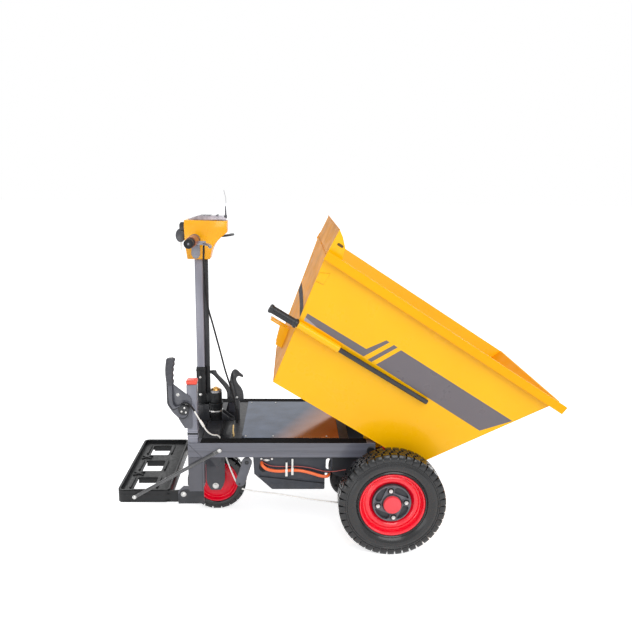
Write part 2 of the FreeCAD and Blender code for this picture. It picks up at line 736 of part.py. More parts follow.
def hanger(name, side):
    """Plate from the rail down to the axle, rounded about it."""
    edge = "hanger_foot / sqrt(2)"
    outline = ((ahead("hanger_rear"), RAIL_LOW), (ahead("hanger_rear"), "motor_up + hanger_foot"),
               (ahead(edge), "tyre_radius - " + edge), ("drive_x", "tyre_radius"),
               ("drive_x + " + edge, "tyre_radius + " + edge), (ahead("rail_front"), RAIL_LOW))
    low = span(side, RAIL_IN, RAIL_IN + " + hanger_thick")[0]
    sheet_metal = plate(name + "_plate", "XZ", outline, "hanger_thick", ("0", low, "0"))
    disc = rod(name + "_disc", "Y", ("drive_x", low, "tyre_radius"), "hanger_foot", "hanger_thick")
    hole = rod(name + "_hole", "Y", ("drive_x", low, "tyre_radius"), "axle_radius", "hanger_thick")
    return cut(name, joined(name + "_body", [sheet_metal, disc]), hole)


def drive_train():
    keep(group("axle_hangers", both_sides("axle_hanger", hanger)), "axle_hangers")
    end = "(tyre_outer - rim_dish + hub_proud - bore_end - axle_play)"
    tubes = [rod("axle_tube_" + word, "Y", ("drive_x", low, "tyre_radius"), "axle_radius",
                 end + " - gear_half") for word, low in (("left", "gear_half"), ("right", "-" + end))]
    keep(group("axle_tubes", tubes), "axle_tubes")
    nose = rod("gear_nose", "Y", ("drive_x", "-gear_half", "tyre_radius"), "gear_radius", "2 * gear_half")
    outline = (("drive_x", "tyre_radius - gear_radius"), ("drive_x", "tyre_radius + gear_radius"),
               (ahead("motor_back"), "motor_up + gear_rear"), (ahead("motor_back + gear_rear"), "motor_up"),
               (ahead("motor_back"), "motor_up - gear_rear"))
    block = plate("gear_block", "XZ", outline, "2 * gear_half", ("0", "-gear_half", "0"))
    keep(joined("gear_case", [nose, block]), "gear_case")
    keep(rod("motor", "Y", (ahead("motor_back"), "-motor_right", "motor_up"), "motor_radius",
             "motor_right - gear_half"), "motor")
    top = RAIL_LOW
    outline = ((aft("-box_gap"), top), (aft("-box_gap - box_lean"), "box_low + box_cut_up"),
               (aft("-box_gap - box_cut_long"), "box_low"), (ahead("box_front"), "box_low"),
               (ahead("box_front"), top))
    keep(plate("battery_box", "XZ", outline, "2 * box_half", ("0", "-box_half", "0")), "battery_box")


# ---------------------------------------------------------------- step

def step():
    low = "step_top - step_tall"
    panel = "step_top - step_recess"
    under = panel + " - step_sheet"
    outside = box("step_outside", (aft("step_past"), aft("step_start")), ("-step_half", "step_half"),
                  (low, "step_top"))
    inside = box("step_inside", (aft("step_past - step_sheet"), aft("step_start + step_sheet")),
                 ("-(%s)" % STEP_IN, STEP_IN), (low, under))
    tray = box("step_tray", (aft("step_past - step_rim"), aft("step_start + step_rim")),
               ("-step_half + step_rim", "step_half - step_rim"), (panel, "step_top"))
    middle = "step_hole_past"
    along = (aft(middle + " + step_hole_long / 2"), aft(middle + " - step_hole_long / 2"))
    holes, flanges = [], []
    for number in (-1, 0, 1):
        near = "%d * step_hole_pitch - step_hole_wide / 2" % number
        far = "%d * step_hole_pitch + step_hole_wide / 2" % number
        holes.append(box("step_hole_%d" % (number + 1), along, (near, far), (under, panel)))
        flanges.append(box("step_flange_%d" % (number + 1), along, (far, far + " + step_sheet"),
                           (under + " - step_flange", under)))
    pan = cut("step_shell", outside, joined("step_cuts", [inside, tray] + holes))
    keep(joined("step_pan", [pan] + flanges + both_sides("step_arm", step_arm)), "step_pan")
    keep(group("step_bolts", both_sides("step_bolt", step_bolt)), "step_bolts")
    keep(group("step_struts", both_sides("step_strut", strut)), "step_struts")


def step_arm(name, side):
    """Arm inside the step's side, bolted to the foot of the rear leg."""
    low = "step_top - step_tall"
    under = "step_top - step_recess - step_sheet"
    outline = ((aft("step_start + arm_lap"), low), (aft("step_start + arm_lap"), under),
               (aft("step_start"), under), (aft("step_bolt_past - arm_end"), under),
               (aft("step_bolt_past - arm_end"), "step_bolt_up - arm_end"), (aft("step_start"), low))
    start = span(side, STEP_IN + " - step_arm_thick", STEP_IN)[0]
    arm = plate(name + "_plate", "XZ", outline, "step_arm_thick", ("0", start, "0"))
    eye = rod(name + "_eye", "Y", (aft("step_bolt_past"), start, "step_bolt_up"), "arm_end",
              "step_arm_thick")
    hole = rod(name + "_hole", "Y", (aft("step_bolt_past"), start, "step_bolt_up"),
               "step_bolt_radius", "step_arm_thick")
    return cut(name, joined(name + "_body", [arm, eye]), hole)


def step_bolt(name, side):
    """Bolt through the step's arm and the foot plate, with its head outside and nut inside."""
    low, high = span(side, STEP_IN + " - step_arm_thick", "rail_out")
    shaft = rod(name + "_shaft", "Y", (aft("step_bolt_past"), low, "step_bolt_up"),
                "step_bolt_radius", "step_arm_thick + " + FOOT_THICK)
    ends = [rod(name + "_end%d" % number, "Y", (aft("step_bolt_past"), start, "step_bolt_up"),
                "bolt_head", "step_bolt_radius")
            for number, start in enumerate((low + " - step_bolt_radius", high))]
    return joined(name, [shaft] + ends)


def strut(name, side):
    """Flat bar from the rail's side down to the step's side."""
    low = span(side, "rail_out", "rail_out + strut_thick")[0]
    half = "strut_wide / 2"
    eye = "strut_wide / 2 - strut_edge"
    outline = ((aft("strut_low_past"), "strut_low_up - " + half),
               (aft("-strut_top_ahead"), "strut_top_up - " + half),
               (aft("-strut_top_ahead - strut_wide / 2"), "strut_top_up"),
               (aft("-strut_top_ahead"), "strut_top_up + " + half),
               (aft("strut_low_past"), "strut_low_up + " + half),
               (aft("strut_low_past + strut_wide / 2"), "strut_low_up"))
    bar = plate(name + "_bar", "XZ", outline, "strut_thick", ("0", low, "0"))
    boss_low = span(side, "step_half", "rail_out")[0]
    boss = rod(name + "_boss", "Y", (aft("strut_low_past"), boss_low, "strut_low_up"), eye,
               "rail_out - step_half")
    return joined(name, [bar, boss])


# ---------------------------------------------------------------- post and hand brake

def post():
    rear, front = aft("post_past"), aft("post_past - post_wide")
    low, high = "-post_side - post_wide / 2", "-post_side + post_wide / 2"
    keep(box("post", (rear, front), (low, high), ("rail_top", "post_top")), "post")
    keep(box("post_cap", (rear, front), (low, high), ("post_top", "post_top + post_cap")), "post_cap")


def hand_brake():
    """Plate on the post's outer side, the lever that turns on it, and the lever's grip."""
    face = "-post_side - post_wide / 2 - brake_plate"
    pivot, up = "brake_pivot_past", "brake_pivot_up"
    outline = ((aft(pivot + " + bracket_rear"), up + " + bracket_up"),
               (aft(pivot + " + bracket_front"), up + " - bracket_waist"),
               (aft(pivot), up + " - bracket_down"),
               (aft(pivot + " - bracket_front"), up + " - bracket_down"),
               (aft(pivot + " - bracket_front"), up + " + bracket_shoulder"))
    keep(plate("brake_bracket", "XZ", outline, "brake_plate", ("0", face, "0")), "brake_bracket")
    lever_face = face + " - brake_drum_deep"
    drum = rod("brake_drum_body", "Y", (aft(pivot), lever_face, up), "brake_drum", "brake_drum_deep")
    outline = ((aft(pivot), up + " - brake_drum"), (aft(pivot + " + lever_heel"), up + " - lever_drop"),
               (aft(pivot + " + lever_back"), up + " + lever_drop"),
               (aft(pivot + " + lever_back"), up + " + lever_tall"),
               (aft(pivot + " + lever_back - lever_wide"), up + " + lever_tall"),
               (aft(pivot + " + lever_back - lever_wide"), up + " + lever_drop"),
               (aft(pivot), up + " + brake_drum"))
    arm = plate("brake_arm", "XZ", outline, "lever_thick",
                ("0", lever_face + " + (brake_drum_deep - lever_thick) / 2", "0"))
    keep(joined("brake_lever", [drum, arm]), "brake_lever")
    keep(rod("brake_grip", "Z", (aft(pivot + " + lever_back - lever_wide / 2"),
                                 lever_face + " + brake_drum_deep / 2", up + " + lever_tall"),
             "brake_grip_radius", "brake_grip_long"), "brake_grip")


def rocker():
    """Brake rocker under the right rail, held on its bracket by a pin."""
    out = "-(rail_out - rocker_side)"
    back = out + " + rocker_thick"
    plate_body = plate("rocker_plate", "XZ", (
        (aft("-rocker_ahead + rocker_round"), "rocker_up"),
        (aft("-rocker_end_ahead + rocker_round"), "rocker_end_up - rocker_slant"),
        (aft("-rocker_end_ahead - rocker_round"), "rocker_end_up + rocker_slant"),
        (aft("-rocker_ahead - rocker_round"), "rocker_up")), "rocker_thick", ("0", out, "0"))
    head_disc = rod("rocker_round_end", "Y", (aft("-rocker_ahead"), out, "rocker_up"), "rocker_round",
                    "rocker_thick")
    hole = rod("rocker_hole", "Y", (aft("-rocker_ahead"), out, "rocker_up"), "rocker_pin",
               "rocker_thick")
    body = cut("rocker_bored", joined("rocker_body", [plate_body, head_disc]), hole)
    web = box("rocker_web", (aft("-rocker_ahead + rocker_pin"), aft("-rocker_ahead - rocker_pin")),
              (back, back + " + rocker_thick"), ("rocker_up - rocker_pin", RAIL_LOW))
    pin = rod("rocker_pin_rod", "Y", (aft("-rocker_ahead"), out, "rocker_up"), "rocker_pin",
              "2 * rocker_thick")
    keep(joined("brake_rocker", [body, web, pin]), "brake_rocker")


def latch():
    """Hook on its post behind the middle cross tube, with its release strap."""
    def point(forward, up):
        return aft("-(%s)" % forward), "rail_top + " + up

    outline = (point("latch_front", "latch_low"), point("latch_front", "latch_low + latch_face"),
               point("latch_throat", "latch_throat_up"),
               point("latch_throat + beak_hollow", "latch_beak_up - beak_hollow"),
               point("latch_beak", "latch_beak_up"), point("latch_top", "latch_top_up"),
               point("latch_rear", "strap_join + strap_wide / 2"), point("latch_rear", "strap_join"),
               point("strap_wide - strap_end", "strap_up"), point("-strap_end", "strap_up"),
               point("latch_rear", "strap_join - strap_wide"), point("latch_rear", "latch_low"))
    hook = plate("latch_plate", "XZ", outline, "2 * latch_half", ("0", "-latch_half", "0"))
    front = "deck_gap - cross_mid_long"
    foot = box("latch_post", (aft("-(%s - latch_post_long)" % front), aft("-(%s)" % front)),
               ("-latch_post_half", "latch_post_half"), (RAIL_LOW, "rail_top + latch_low"))
    keep(joined("latch", [hook, foot]), "latch")


# ---------------------------------------------------------------- cables and conduit

def arc_at(before, corner, after):
    """The arc that rounds a corner of a route: its two ends, its middle and its radius."""
    into, out = corner - before, after - corner
    turn = into.getAngle(out)
    reach = ARC_SHARE * min(into.Length, out.Length)
    radius = reach / math.tan(turn / 2)
    into.normalize()
    out.normalize()
    inward = out - into
    inward.normalize()
    middle = corner + inward * (radius / math.cos(turn / 2) - radius)
    return corner - into * reach, middle, corner + out * reach, radius


def cable(name, radius, route):
    """A round cable along straight runs joined by arcs."""
    points = [VECTOR(*(size(text) for text in spot)) for spot in route]
    edges, radii, last = [], [], points[0]
    for before, corner, after in zip(points, points[1:], points[2:]):
        start, middle, end, bend = arc_at(before, corner, after)
        edges += [Part.makeLine(last, start), Part.Arc(start, middle, end).toShape()]
        radii.append(bend)
        last = end
    edges.append(Part.makeLine(last, points[-1]))
    path = Part.Wire(edges)
    thick = size(radius)
    section = Part.Wire([Part.makeCircle(thick, points[0], points[1] - points[0])])
    thing = doc.addObject("Part::Feature", name)
    thing.Shape = path.makePipeShell([section], True, False)
    share = thing.Shape.Volume / (math.pi * thick ** 2 * path.Length)
    print("%s: %.0f mm long, radii %.0f to %.0f mm, volume %.3f of section times length" % (
        name, path.Length, min(radii), max(radii), share))
    return thing


def cables():
    """Cables that the frame and the column hold along their whole length."""
    keep(cable("control_cable_top", "cable_radius", UPPER_ROUTE), "control_cable_top")
    keep(cable("control_cable_low", "cable_radius", LOWER_ROUTE), "control_cable_low")
    keep(group("brake_cables", [cable("brake_cable_" + word, "brake_cable_radius", route)
                                for word, route in BRAKE_ROUTES]), "brake_cables")
    keep(cable("battery_conduit", "conduit_radius", CONDUIT_ROUTE), "battery_conduit")


ARC_SHARE = 0.45
LINE_SIDE = "-(tyre_outer - tyre_width - line_gap)"
CABLE_JOINT = (aft("-36"), "-44", "700")
UPPER_ROUTE = (
    (aft("bar_past - perch_reach + 8"), "-159", "bar_up - perch_radius"),
    (aft("bar_past - perch_reach + 8"), "-158", "1182"), (aft("26"), "-124", "1138"),
    (aft("32"), "-70", "1094"),
    (aft("34"), "-46", "1044"), (aft("32"), "-38", "985"), (aft("22"), "-38", "925"),
    (aft("5"), "-40", "865"), (aft("-10"), "-42", "805"), (aft("-24"), "-43", "750"), CABLE_JOINT)
LOWER_ROUTE = (
    CABLE_JOINT, (aft("-48"), "-45", "650"), (aft("-64"), "-47", "600"), (aft("-78"), "-48", "548"),
    (aft("-90"), "-48", "492"), (aft("-96"), "-48", "448"), (aft("-96"), "-48", "rail_top"))
BRAKE_ROUTES = (
    ("hand", ((aft("brake_pivot_past"), "-300", "brake_pivot_up + brake_drum + brake_cable_radius"),
              (aft("78"), "-300", "594"), (aft("61"), "-299", "577"), (aft("42"), "-296", "540"),
              (aft("22"), "-289", "500"), (aft("6"), "-272", "462"), (aft("-14"), "-248", "438"),
              (aft("-34"), "-224", "431"), (aft("-48"), "-217", "392"), (aft("-61"), "-221", "336"),
              (aft("-82"), "-236", "284"), (aft("-98"), "-246", "250"), (aft("-108"), "-250", "230"))),
    ("wheel", ((aft("-130"), "-266", "212"), (aft("-165"), LINE_SIDE + " + 32", "204"),
               (aft("-220"), LINE_SIDE + " + 28", "199"), (aft("-280"), LINE_SIDE + " + 20", "196"),
               (aft("-340"), LINE_SIDE + " + 12", "189"), (aft("-400"), LINE_SIDE + " + 6", "181"),
               (aft("-460"), LINE_SIDE + " + 2", "174"), (ahead("220"), LINE_SIDE, "168"),
               (ahead("165"), LINE_SIDE, "162"), (ahead("110"), LINE_SIDE, "158"),
               (ahead("60"), LINE_SIDE + " + 1", "160"), (ahead("20"), LINE_SIDE + " + 1", "168"),
               ("drive_x", LINE_SIDE + " + 2", "174"),
               ("drive_x", LINE_SIDE + " + 2", "tyre_radius - axle_radius"))))
CONDUIT_ROUTE = (
    (aft("-box_gap - 36"), "-box_half", "326"), (aft("-box_gap - 36"), "-box_half - 21", "326"),
    (aft("-box_gap - 54"), "-box_half - 24", "308"), (aft("-box_gap - 84"), "-box_half - 18", "297"),
    (aft("-box_gap - 118"), "-box_half - 14", "293"), (aft("-box_gap - 155"), "-box_half - 13", "298"),
    (aft("-box_gap - 200"), "-box_half - 13", "296"), (aft("-box_gap - 245"), "-box_half - 14", "284"),
    (ahead("280"), "-box_half - 13", "272"), (ahead("250"), "-box_half - 12", "268"),
    (ahead("243"), "-box_half + 16", "268"), (ahead("243"), "-motor_right - 14", "268"),
    (ahead("230.3"), "-motor_right + 16", "265"))


# ---------------------------------------------------------------- bucket, made level and then tilted

def tilted(thing, label):
    """Stands a bucket piece, made level about its hinge, at the tilt it rests at."""
    thing.Placement = FreeCAD.Placement(VECTOR(), FreeCAD.Rotation(VECTOR(0, 1, 0), size("tilt")))
    bind(thing, Placement__Base__x=PIVOT_X, Placement__Base__z=PIVOT_Z, Placement__Rotation__Angle="tilt")
    return keep(thing, label)


FLOOR = "pivot_drop"
FLOOR_BEHIND = "(wheelbase - pivot_back - floor_gap)"
REAR = "-" + FLOOR_BEHIND
LIP = "floor_ahead + ramp_long"
LONG = FLOOR_BEHIND + " + rear_lean + board_lean + floor_ahead + ramp_long + rim_past + 2 * room"
WIDE = "2 * (bucket_half + bucket_flare * (rear_tall + board_tall) + rim_out + room)"
SECTION_TOP = "rear_tall + board_tall + room"


def side_profile(name, outline):
    """A bucket outline seen from the side, as wide as the whole bucket."""
    return plate(name, "XZ", outline, WIDE, ("0", "-(%s) / 2" % WIDE, "0"))


def lean(distance, height):
    return "%s + bucket_flare * (%s)" % (distance, height)


def trough(name, inset):
    """The space between the bucket's sides, set in from their outer faces."""
    half = "bucket_half - " + inset
    outline = (("-(%s)" % half, FLOOR), (half, FLOOR),
               (lean(half, SECTION_TOP), "%s + %s" % (FLOOR, SECTION_TOP)),
               ("-(%s)" % lean(half, SECTION_TOP), "%s + %s" % (FLOOR, SECTION_TOP)))
    return plate(name, "YZ", outline, LONG, ("%s - rear_lean - board_lean - room" % REAR, "0", "0"))


def side_slab(name, side, inner, outer):
    """A leaning sheet along one side, between two distances from the bucket's outer face."""
    near, far = "bucket_half + (%s)" % inner, "bucket_half + (%s)" % outer
    low, high = FLOOR, "%s + %s" % (FLOOR, SECTION_TOP)
    outline = [(near, low), (far, low), (lean(far, SECTION_TOP), high), (lean(near, SECTION_TOP), high)]
    if side == -1:
        outline = [("-(%s)" % across, up) for across, up in reversed(outline)]
    return plate(name, "YZ", outline, LONG, ("%s - rear_lean - board_lean - room" % REAR, "0", "0"))


REAR_TOP = (REAR + " - rear_lean", "pivot_drop + rear_tall")
BOARD_TOP = (REAR + " - rear_lean - board_lean", "pivot_drop + rear_tall + board_tall")
LIP_TOP = (LIP, "pivot_drop + ramp_tall")


def shifted(point, along, up="0"):
    return ("%s + (%s)" % (point[0], along), "%s + (%s)" % (point[1], up))


def bucket():
    wall = "bucket_sheet"
    floor_outline = ((REAR, FLOOR), ("floor_ahead", FLOOR), ("floor_ahead", "pivot_drop + " + wall),
                     (REAR, "pivot_drop + " + wall))
    top = "pivot_drop + " + wall
    rear_outline = ((REAR, top), REAR_TOP, BOARD_TOP, shifted(BOARD_TOP, wall), shifted(REAR_TOP, wall),
                    (REAR + " + " + wall, top))
    ramp_outline = (("floor_ahead - " + wall, top), ("floor_ahead", top), LIP_TOP,
                    shifted(LIP_TOP, "-" + wall))
    for name, outline in (("bucket_floor", floor_outline), ("bucket_rear", rear_outline),
                          ("bucket_ramp", ramp_outline)):
        tilted(common(name, side_profile(name + "_profile", outline), trough(name + "_trough", wall)), name)
    side_outline = ((REAR, FLOOR), ("floor_ahead", FLOOR), LIP_TOP, shifted(REAR_TOP, "ear_foot"),
                    shifted(BOARD_TOP, "ear_long", "-ear_drop"),
                    shifted(BOARD_TOP, "ear_long - ear_round", "-ear_drop + ear_round"),
                    BOARD_TOP, REAR_TOP)
    rims = []
    for side, word in ((1, "left"), (-1, "right")):
        name = "bucket_side_" + word
        tilted(common(name, side_profile(name + "_profile", side_outline),
                      side_slab(name + "_slab", side, "-bucket_sheet", "0")), name)
        rims.append(folded_rim("bucket_rim_" + word, side))
    tilted(group("bucket_rims", rims), "bucket_rims")
    tilted(group("bucket_lugs", both_sides("bucket_lug", lug)), "bucket_lugs")


def folded_rim(name, side):
    """Rim folded out and down along the side's top edge, open below."""
    past = shifted(LIP_TOP, "rim_past")
    drop = side_profile(name + "_drop", (shifted(REAR_TOP, "0", "-rim_tall"),
                                         shifted(past, "0", "-rim_tall"), past, REAR_TOP))
    ledge = side_profile(name + "_ledge", (shifted(REAR_TOP, "0", "-bucket_sheet"),
                                           shifted(past, "0", "-bucket_sheet"), past, REAR_TOP))
    outer = common(name + "_outer", drop, side_slab(name + "_outer_slab", side, "rim_out - bucket_sheet",
                                                    "rim_out"))
    flat = common(name + "_flat", ledge, side_slab(name + "_flat_slab", side, "0", "rim_out"))
    return joined(name, [outer, flat])


def lug(name, side):
    """Hinge lug welded under the floor, inside the rail."""
    outline = (("-lug_half", FLOOR), ("-lug_round", "0"), ("lug_round", "0"), ("lug_half", FLOOR))
    low = span(side, RAIL_IN + " - lug_gap - lug_thick", RAIL_IN + " - lug_gap")[0]
    ear = joined(name + "_ear", [plate(name + "_web", "XZ", outline, "lug_thick", ("0", low, "0")),
                                 rod(name + "_eye", "Y", ("0", low, "0"), "lug_round", "lug_thick")])
    hole = rod(name + "_hole", "Y", ("0", low, "0"), "pin_radius + pin_fit", "lug_thick")
    return cut(name, ear, hole)


def pivot_pin(name, side):
    low = span(side, RAIL_IN + " - lug_gap - lug_thick - pin_past", "rail_out")[0]
    shaft = rod(name + "_shaft", "Y", (PIVOT_X, low, PIVOT_Z), "pin_radius",
                "rail_wide + lug_gap + lug_thick + pin_past")
    head_low = span(side, "rail_out", "rail_out + pin_head_tall")[0]
    head_disc = rod(name + "_head", "Y", (PIVOT_X, head_low, PIVOT_Z), "pin_head", "pin_head_tall")
    return joined(name, [shaft, head_disc])


def wall_at(height):
    """The rear wall's outer face, at a height over the level floor."""
    return "%s - rear_lean * (%s - bucket_sheet) / (rear_tall - bucket_sheet)" % (REAR, height)


def lift_lever():
    """Lever rod in its guide tube along the right side, with its hand grip behind."""
    out = ("-(bucket_half + bucket_flare * lever_up"
           " + guide_radius * sqrt(1 + bucket_flare * bucket_flare))")
    up = "pivot_drop + lever_up"
    start = wall_at("lever_up")
    guide = cut("guide_tube", rod("guide_tube_outside", "X", (start, out, up), "guide_radius", "guide_long"),
                rod("guide_tube_bore", "X", (start, out, up), "lever_radius", "guide_long"))
    tilted(guide, "lever_guide")
    bar = rod("lever_bar", "X", (start + " - grip_gap", out, up), "lever_radius", "lever_ahead + grip_gap")
    tilted(group("lever_rod", [bar]), "lever_rod")
    hold = rod("lever_hold", "X", (start + " - grip_gap - grip_long", out, up), "grip_radius",
               "grip_long")
    tilted(group("lever_grip", [hold]), "lever_grip")


def gusset(name, side):
    """Web between the rear wall and the catch tongue."""
    low = "tongue_up - gusset_tall"
    outline = ((wall_at("tongue_up"), "pivot_drop + tongue_up"),
               (wall_at("tongue_up") + " - gusset_deep", "pivot_drop + tongue_up"),
               (wall_at(low) + " - gusset_toe", "pivot_drop + " + low),
               (wall_at(low), "pivot_drop + " + low))
    return plate(name, "XZ", outline, "gusset_thick",
                 ("0", span(side, "tongue_half - gusset_thick", "tongue_half")[0], "0"))


def catch():
    """Tongue behind the rear wall, with a slot that the latch comes up through."""
    top = "tongue_up + tongue_thick"
    end = wall_at("tongue_up") + " - tongue_long"
    outline = ((wall_at("tongue_up"), "pivot_drop + tongue_up"), (wall_at(top), "pivot_drop + " + top),
               (end, "pivot_drop + " + top), (end, "pivot_drop + tongue_up"))
    tongue = plate("tongue_plate", "XZ", outline, "2 * tongue_half", ("0", "-tongue_half", "0"))
    slot = box("tongue_slot", (end + " + tongue_bar", wall_at(top) + " - tongue_web"),
               ("-tongue_slot_half", "tongue_slot_half"), ("pivot_drop + tongue_up", "pivot_drop + " + top))
    tilted(joined("catch_body", [cut("tongue", tongue, slot)] + both_sides("gusset", gusset)),
           "bucket_catch")


# ---------------------------------------------------------------- making it

def check_and_write():
    """Every object is sound before any file is written."""
    doc.recompute()
    faults = []
    for thing in doc.Objects:
        if "Invalid" in thing.State or "Error" in thing.State:
            faults.append("%s: %s" % (thing.Name, thing.State))
    for thing in kept:
        if thing.Shape.isNull() or not thing.Shape.isValid():
            faults.append("%s has no sound shape" % thing.Label)
    if faults:
        raise RuntimeError("; ".join(faults))
    os.makedirs("parts", exist_ok=True)
    for thing in kept:
        thing.Shape.exportStep("parts/%s.step" % thing.Label)
    print("%d pieces written" % len(kept))


frame()
head()
fork()
column()
cowl()
switches()
handlebar()
for wheel_side, wheel_word in ((1, "left"), (-1, "right")):
    drive_wheel(wheel_side, wheel_word)
steered_wheel()
drive_train()
step()
post()
hand_brake()
rocker()
latch()
cables()
bucket()
keep(group("pivot_pins", both_sides("pivot_pin", pivot_pin)), "pivot_pins")
lift_lever()
catch()
check_and_write()
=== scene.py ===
import math

import bpy
from mathutils import Matrix, Vector


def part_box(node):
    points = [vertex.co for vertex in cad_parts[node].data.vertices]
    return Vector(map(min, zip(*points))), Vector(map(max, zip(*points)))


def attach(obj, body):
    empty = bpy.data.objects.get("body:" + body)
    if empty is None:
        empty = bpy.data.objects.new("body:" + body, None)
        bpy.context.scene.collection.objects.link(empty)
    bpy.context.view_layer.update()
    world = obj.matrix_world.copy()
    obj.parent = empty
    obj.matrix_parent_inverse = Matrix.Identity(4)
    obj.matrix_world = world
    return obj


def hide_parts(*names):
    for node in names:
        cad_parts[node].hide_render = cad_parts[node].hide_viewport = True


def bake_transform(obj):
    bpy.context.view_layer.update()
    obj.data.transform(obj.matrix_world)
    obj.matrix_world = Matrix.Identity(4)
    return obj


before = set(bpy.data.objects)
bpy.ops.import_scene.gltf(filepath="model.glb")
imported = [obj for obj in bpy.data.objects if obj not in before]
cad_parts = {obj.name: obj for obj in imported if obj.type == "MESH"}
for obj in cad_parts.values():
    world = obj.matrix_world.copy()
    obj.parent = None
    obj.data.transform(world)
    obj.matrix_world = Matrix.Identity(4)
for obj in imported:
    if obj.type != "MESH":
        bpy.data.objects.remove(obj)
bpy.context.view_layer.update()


# ---------------------------------------------------------------- studio floor, lamps and camera
# A white studio floor under a white sky, four soft lamps, and the camera on the tricycle's right.
# The floor shows white to the camera and in reflections, and keeps the soft shadow on it.
def tint(code):
    """A colour from its six hex digits, as the shaders take it."""
    parts = [int(code[at:at + 2], 16) / 255 for at in (0, 2, 4)]
    return tuple(v / 12.92 if v <= 0.04045 else ((v + 0.055) / 1.055) ** 2.4 for v in parts) + (1.0,)


def alone(piece):
    """Makes one piece the only one selected."""
    bpy.ops.object.select_all(action="DESELECT")
    piece.select_set(True)
    bpy.context.view_layer.objects.active = piece


def seen_directly(tree):
    """1 for what the camera sees, also in gloss or through glass."""
    path = tree.nodes.new("ShaderNodeLightPath")
    total = path.outputs["Is Camera Ray"]
    for word in ("Is Glossy Ray", "Is Transmission Ray"):
        either = tree.nodes.new("ShaderNodeMath")
        either.operation = "MAXIMUM"
        tree.links.new(total, either.inputs[0])
        tree.links.new(path.outputs[word], either.inputs[1])
        total = either.outputs[0]
    return total


scene = bpy.context.scene
scene.view_settings.view_transform = "Standard"
scene.world = bpy.data.worlds.new("studio_sky")
scene.world.use_nodes = True
sky = scene.world.node_tree
soft, white = sky.nodes["Background"], sky.nodes.new("ShaderNodeBackground")
soft.inputs["Color"].default_value = (0.95, 0.97, 1.0, 1.0)
soft.inputs["Strength"].default_value = 0.68
either = sky.nodes.new("ShaderNodeMixShader")
sky.links.new(seen_directly(sky), either.inputs["Fac"])
sky.links.new(soft.outputs[0], either.inputs[1])
sky.links.new(white.outputs[0], either.inputs[2])
white.inputs["Color"].default_value = (1.0, 1.0, 1.0, 1.0)
sky.links.new(either.outputs[0], sky.nodes["World Output"].inputs["Surface"])

bpy.ops.object.select_all(action="DESELECT")
bpy.ops.mesh.primitive_plane_add(size=60, location=(0, 0, 0))
floor = bpy.context.active_object
floor.name = "studio_floor"
paper = bpy.data.materials.new("floor_white")
paper.use_nodes = True
tree = paper.node_tree
tree.nodes.remove(tree.nodes["Principled BSDF"])
matt = tree.nodes.new("ShaderNodeBsdfDiffuse")
matt.inputs["Color"].default_value = (0.86, 0.86, 0.86, 1.0)
glow = tree.nodes.new("ShaderNodeEmission")
glow.inputs["Strength"].default_value = 0.7
both = tree.nodes.new("ShaderNodeAddShader")
either = tree.nodes.new("ShaderNodeMixShader")
tree.links.new(matt.outputs[0], both.inputs[0])
tree.links.new(glow.outputs[0], both.inputs[1])
tree.links.new(seen_directly(tree), either.inputs["Fac"])
tree.links.new(matt.outputs[0], either.inputs[1])
tree.links.new(both.outputs[0], either.inputs[2])
tree.links.new(either.outputs[0], tree.nodes["Material Output"].inputs["Surface"])
floor.data.materials.append(paper)

for name, spot, aim, size, power in (
        ("key_lamp", (0.9, -3.4, 3.6), (0.1, 0, 0.6), 3.2, 104.0),
        ("side_lamp", (3.4, -1.0, 2.2), (0.1, 0, 0.6), 2.4, 26.0),
        ("back_lamp", (-2.2, 2.6, 2.8), (0.1, 0, 0.6), 2.6, 34.0),
        ("low_lamp", (-1.5, -2.2, 0.3), (-0.5, 0, 0.15), 1.2, 7.0)):
    bpy.ops.object.light_add(type="AREA", location=spot)
    lamp = bpy.context.active_object
    lamp.name, lamp.data.size, lamp.data.energy = name, size, power
    lamp.rotation_euler = (Vector(aim) - Vector(spot)).to_track_quat("-Z", "Y").to_euler()

yaw, pitch, roll = math.radians(1.7), math.radians(12.3), math.radians(0.7)
ahead = Vector((math.sin(yaw) * math.cos(pitch), math.cos(yaw) * math.cos(pitch), -math.sin(pitch)))
level = Vector((math.cos(yaw), -math.sin(yaw), 0))
upright = level.cross(ahead)
right = level * math.cos(roll) + upright * math.sin(roll)
over = upright * math.cos(roll) - level * math.sin(roll)
bpy.ops.object.camera_add(location=(0, 0, 0))
camera = bpy.context.active_object
camera.name = "camera"
camera.matrix_world = Matrix.Translation((-0.1745, -2.919, 1.4945)) @ Matrix(
    (right, over, -ahead)).transposed().to_4x4()
camera.data.lens = 39.45
camera.data.shift_x, camera.data.shift_y = 0.0052, 0.0103
scene.camera = camera


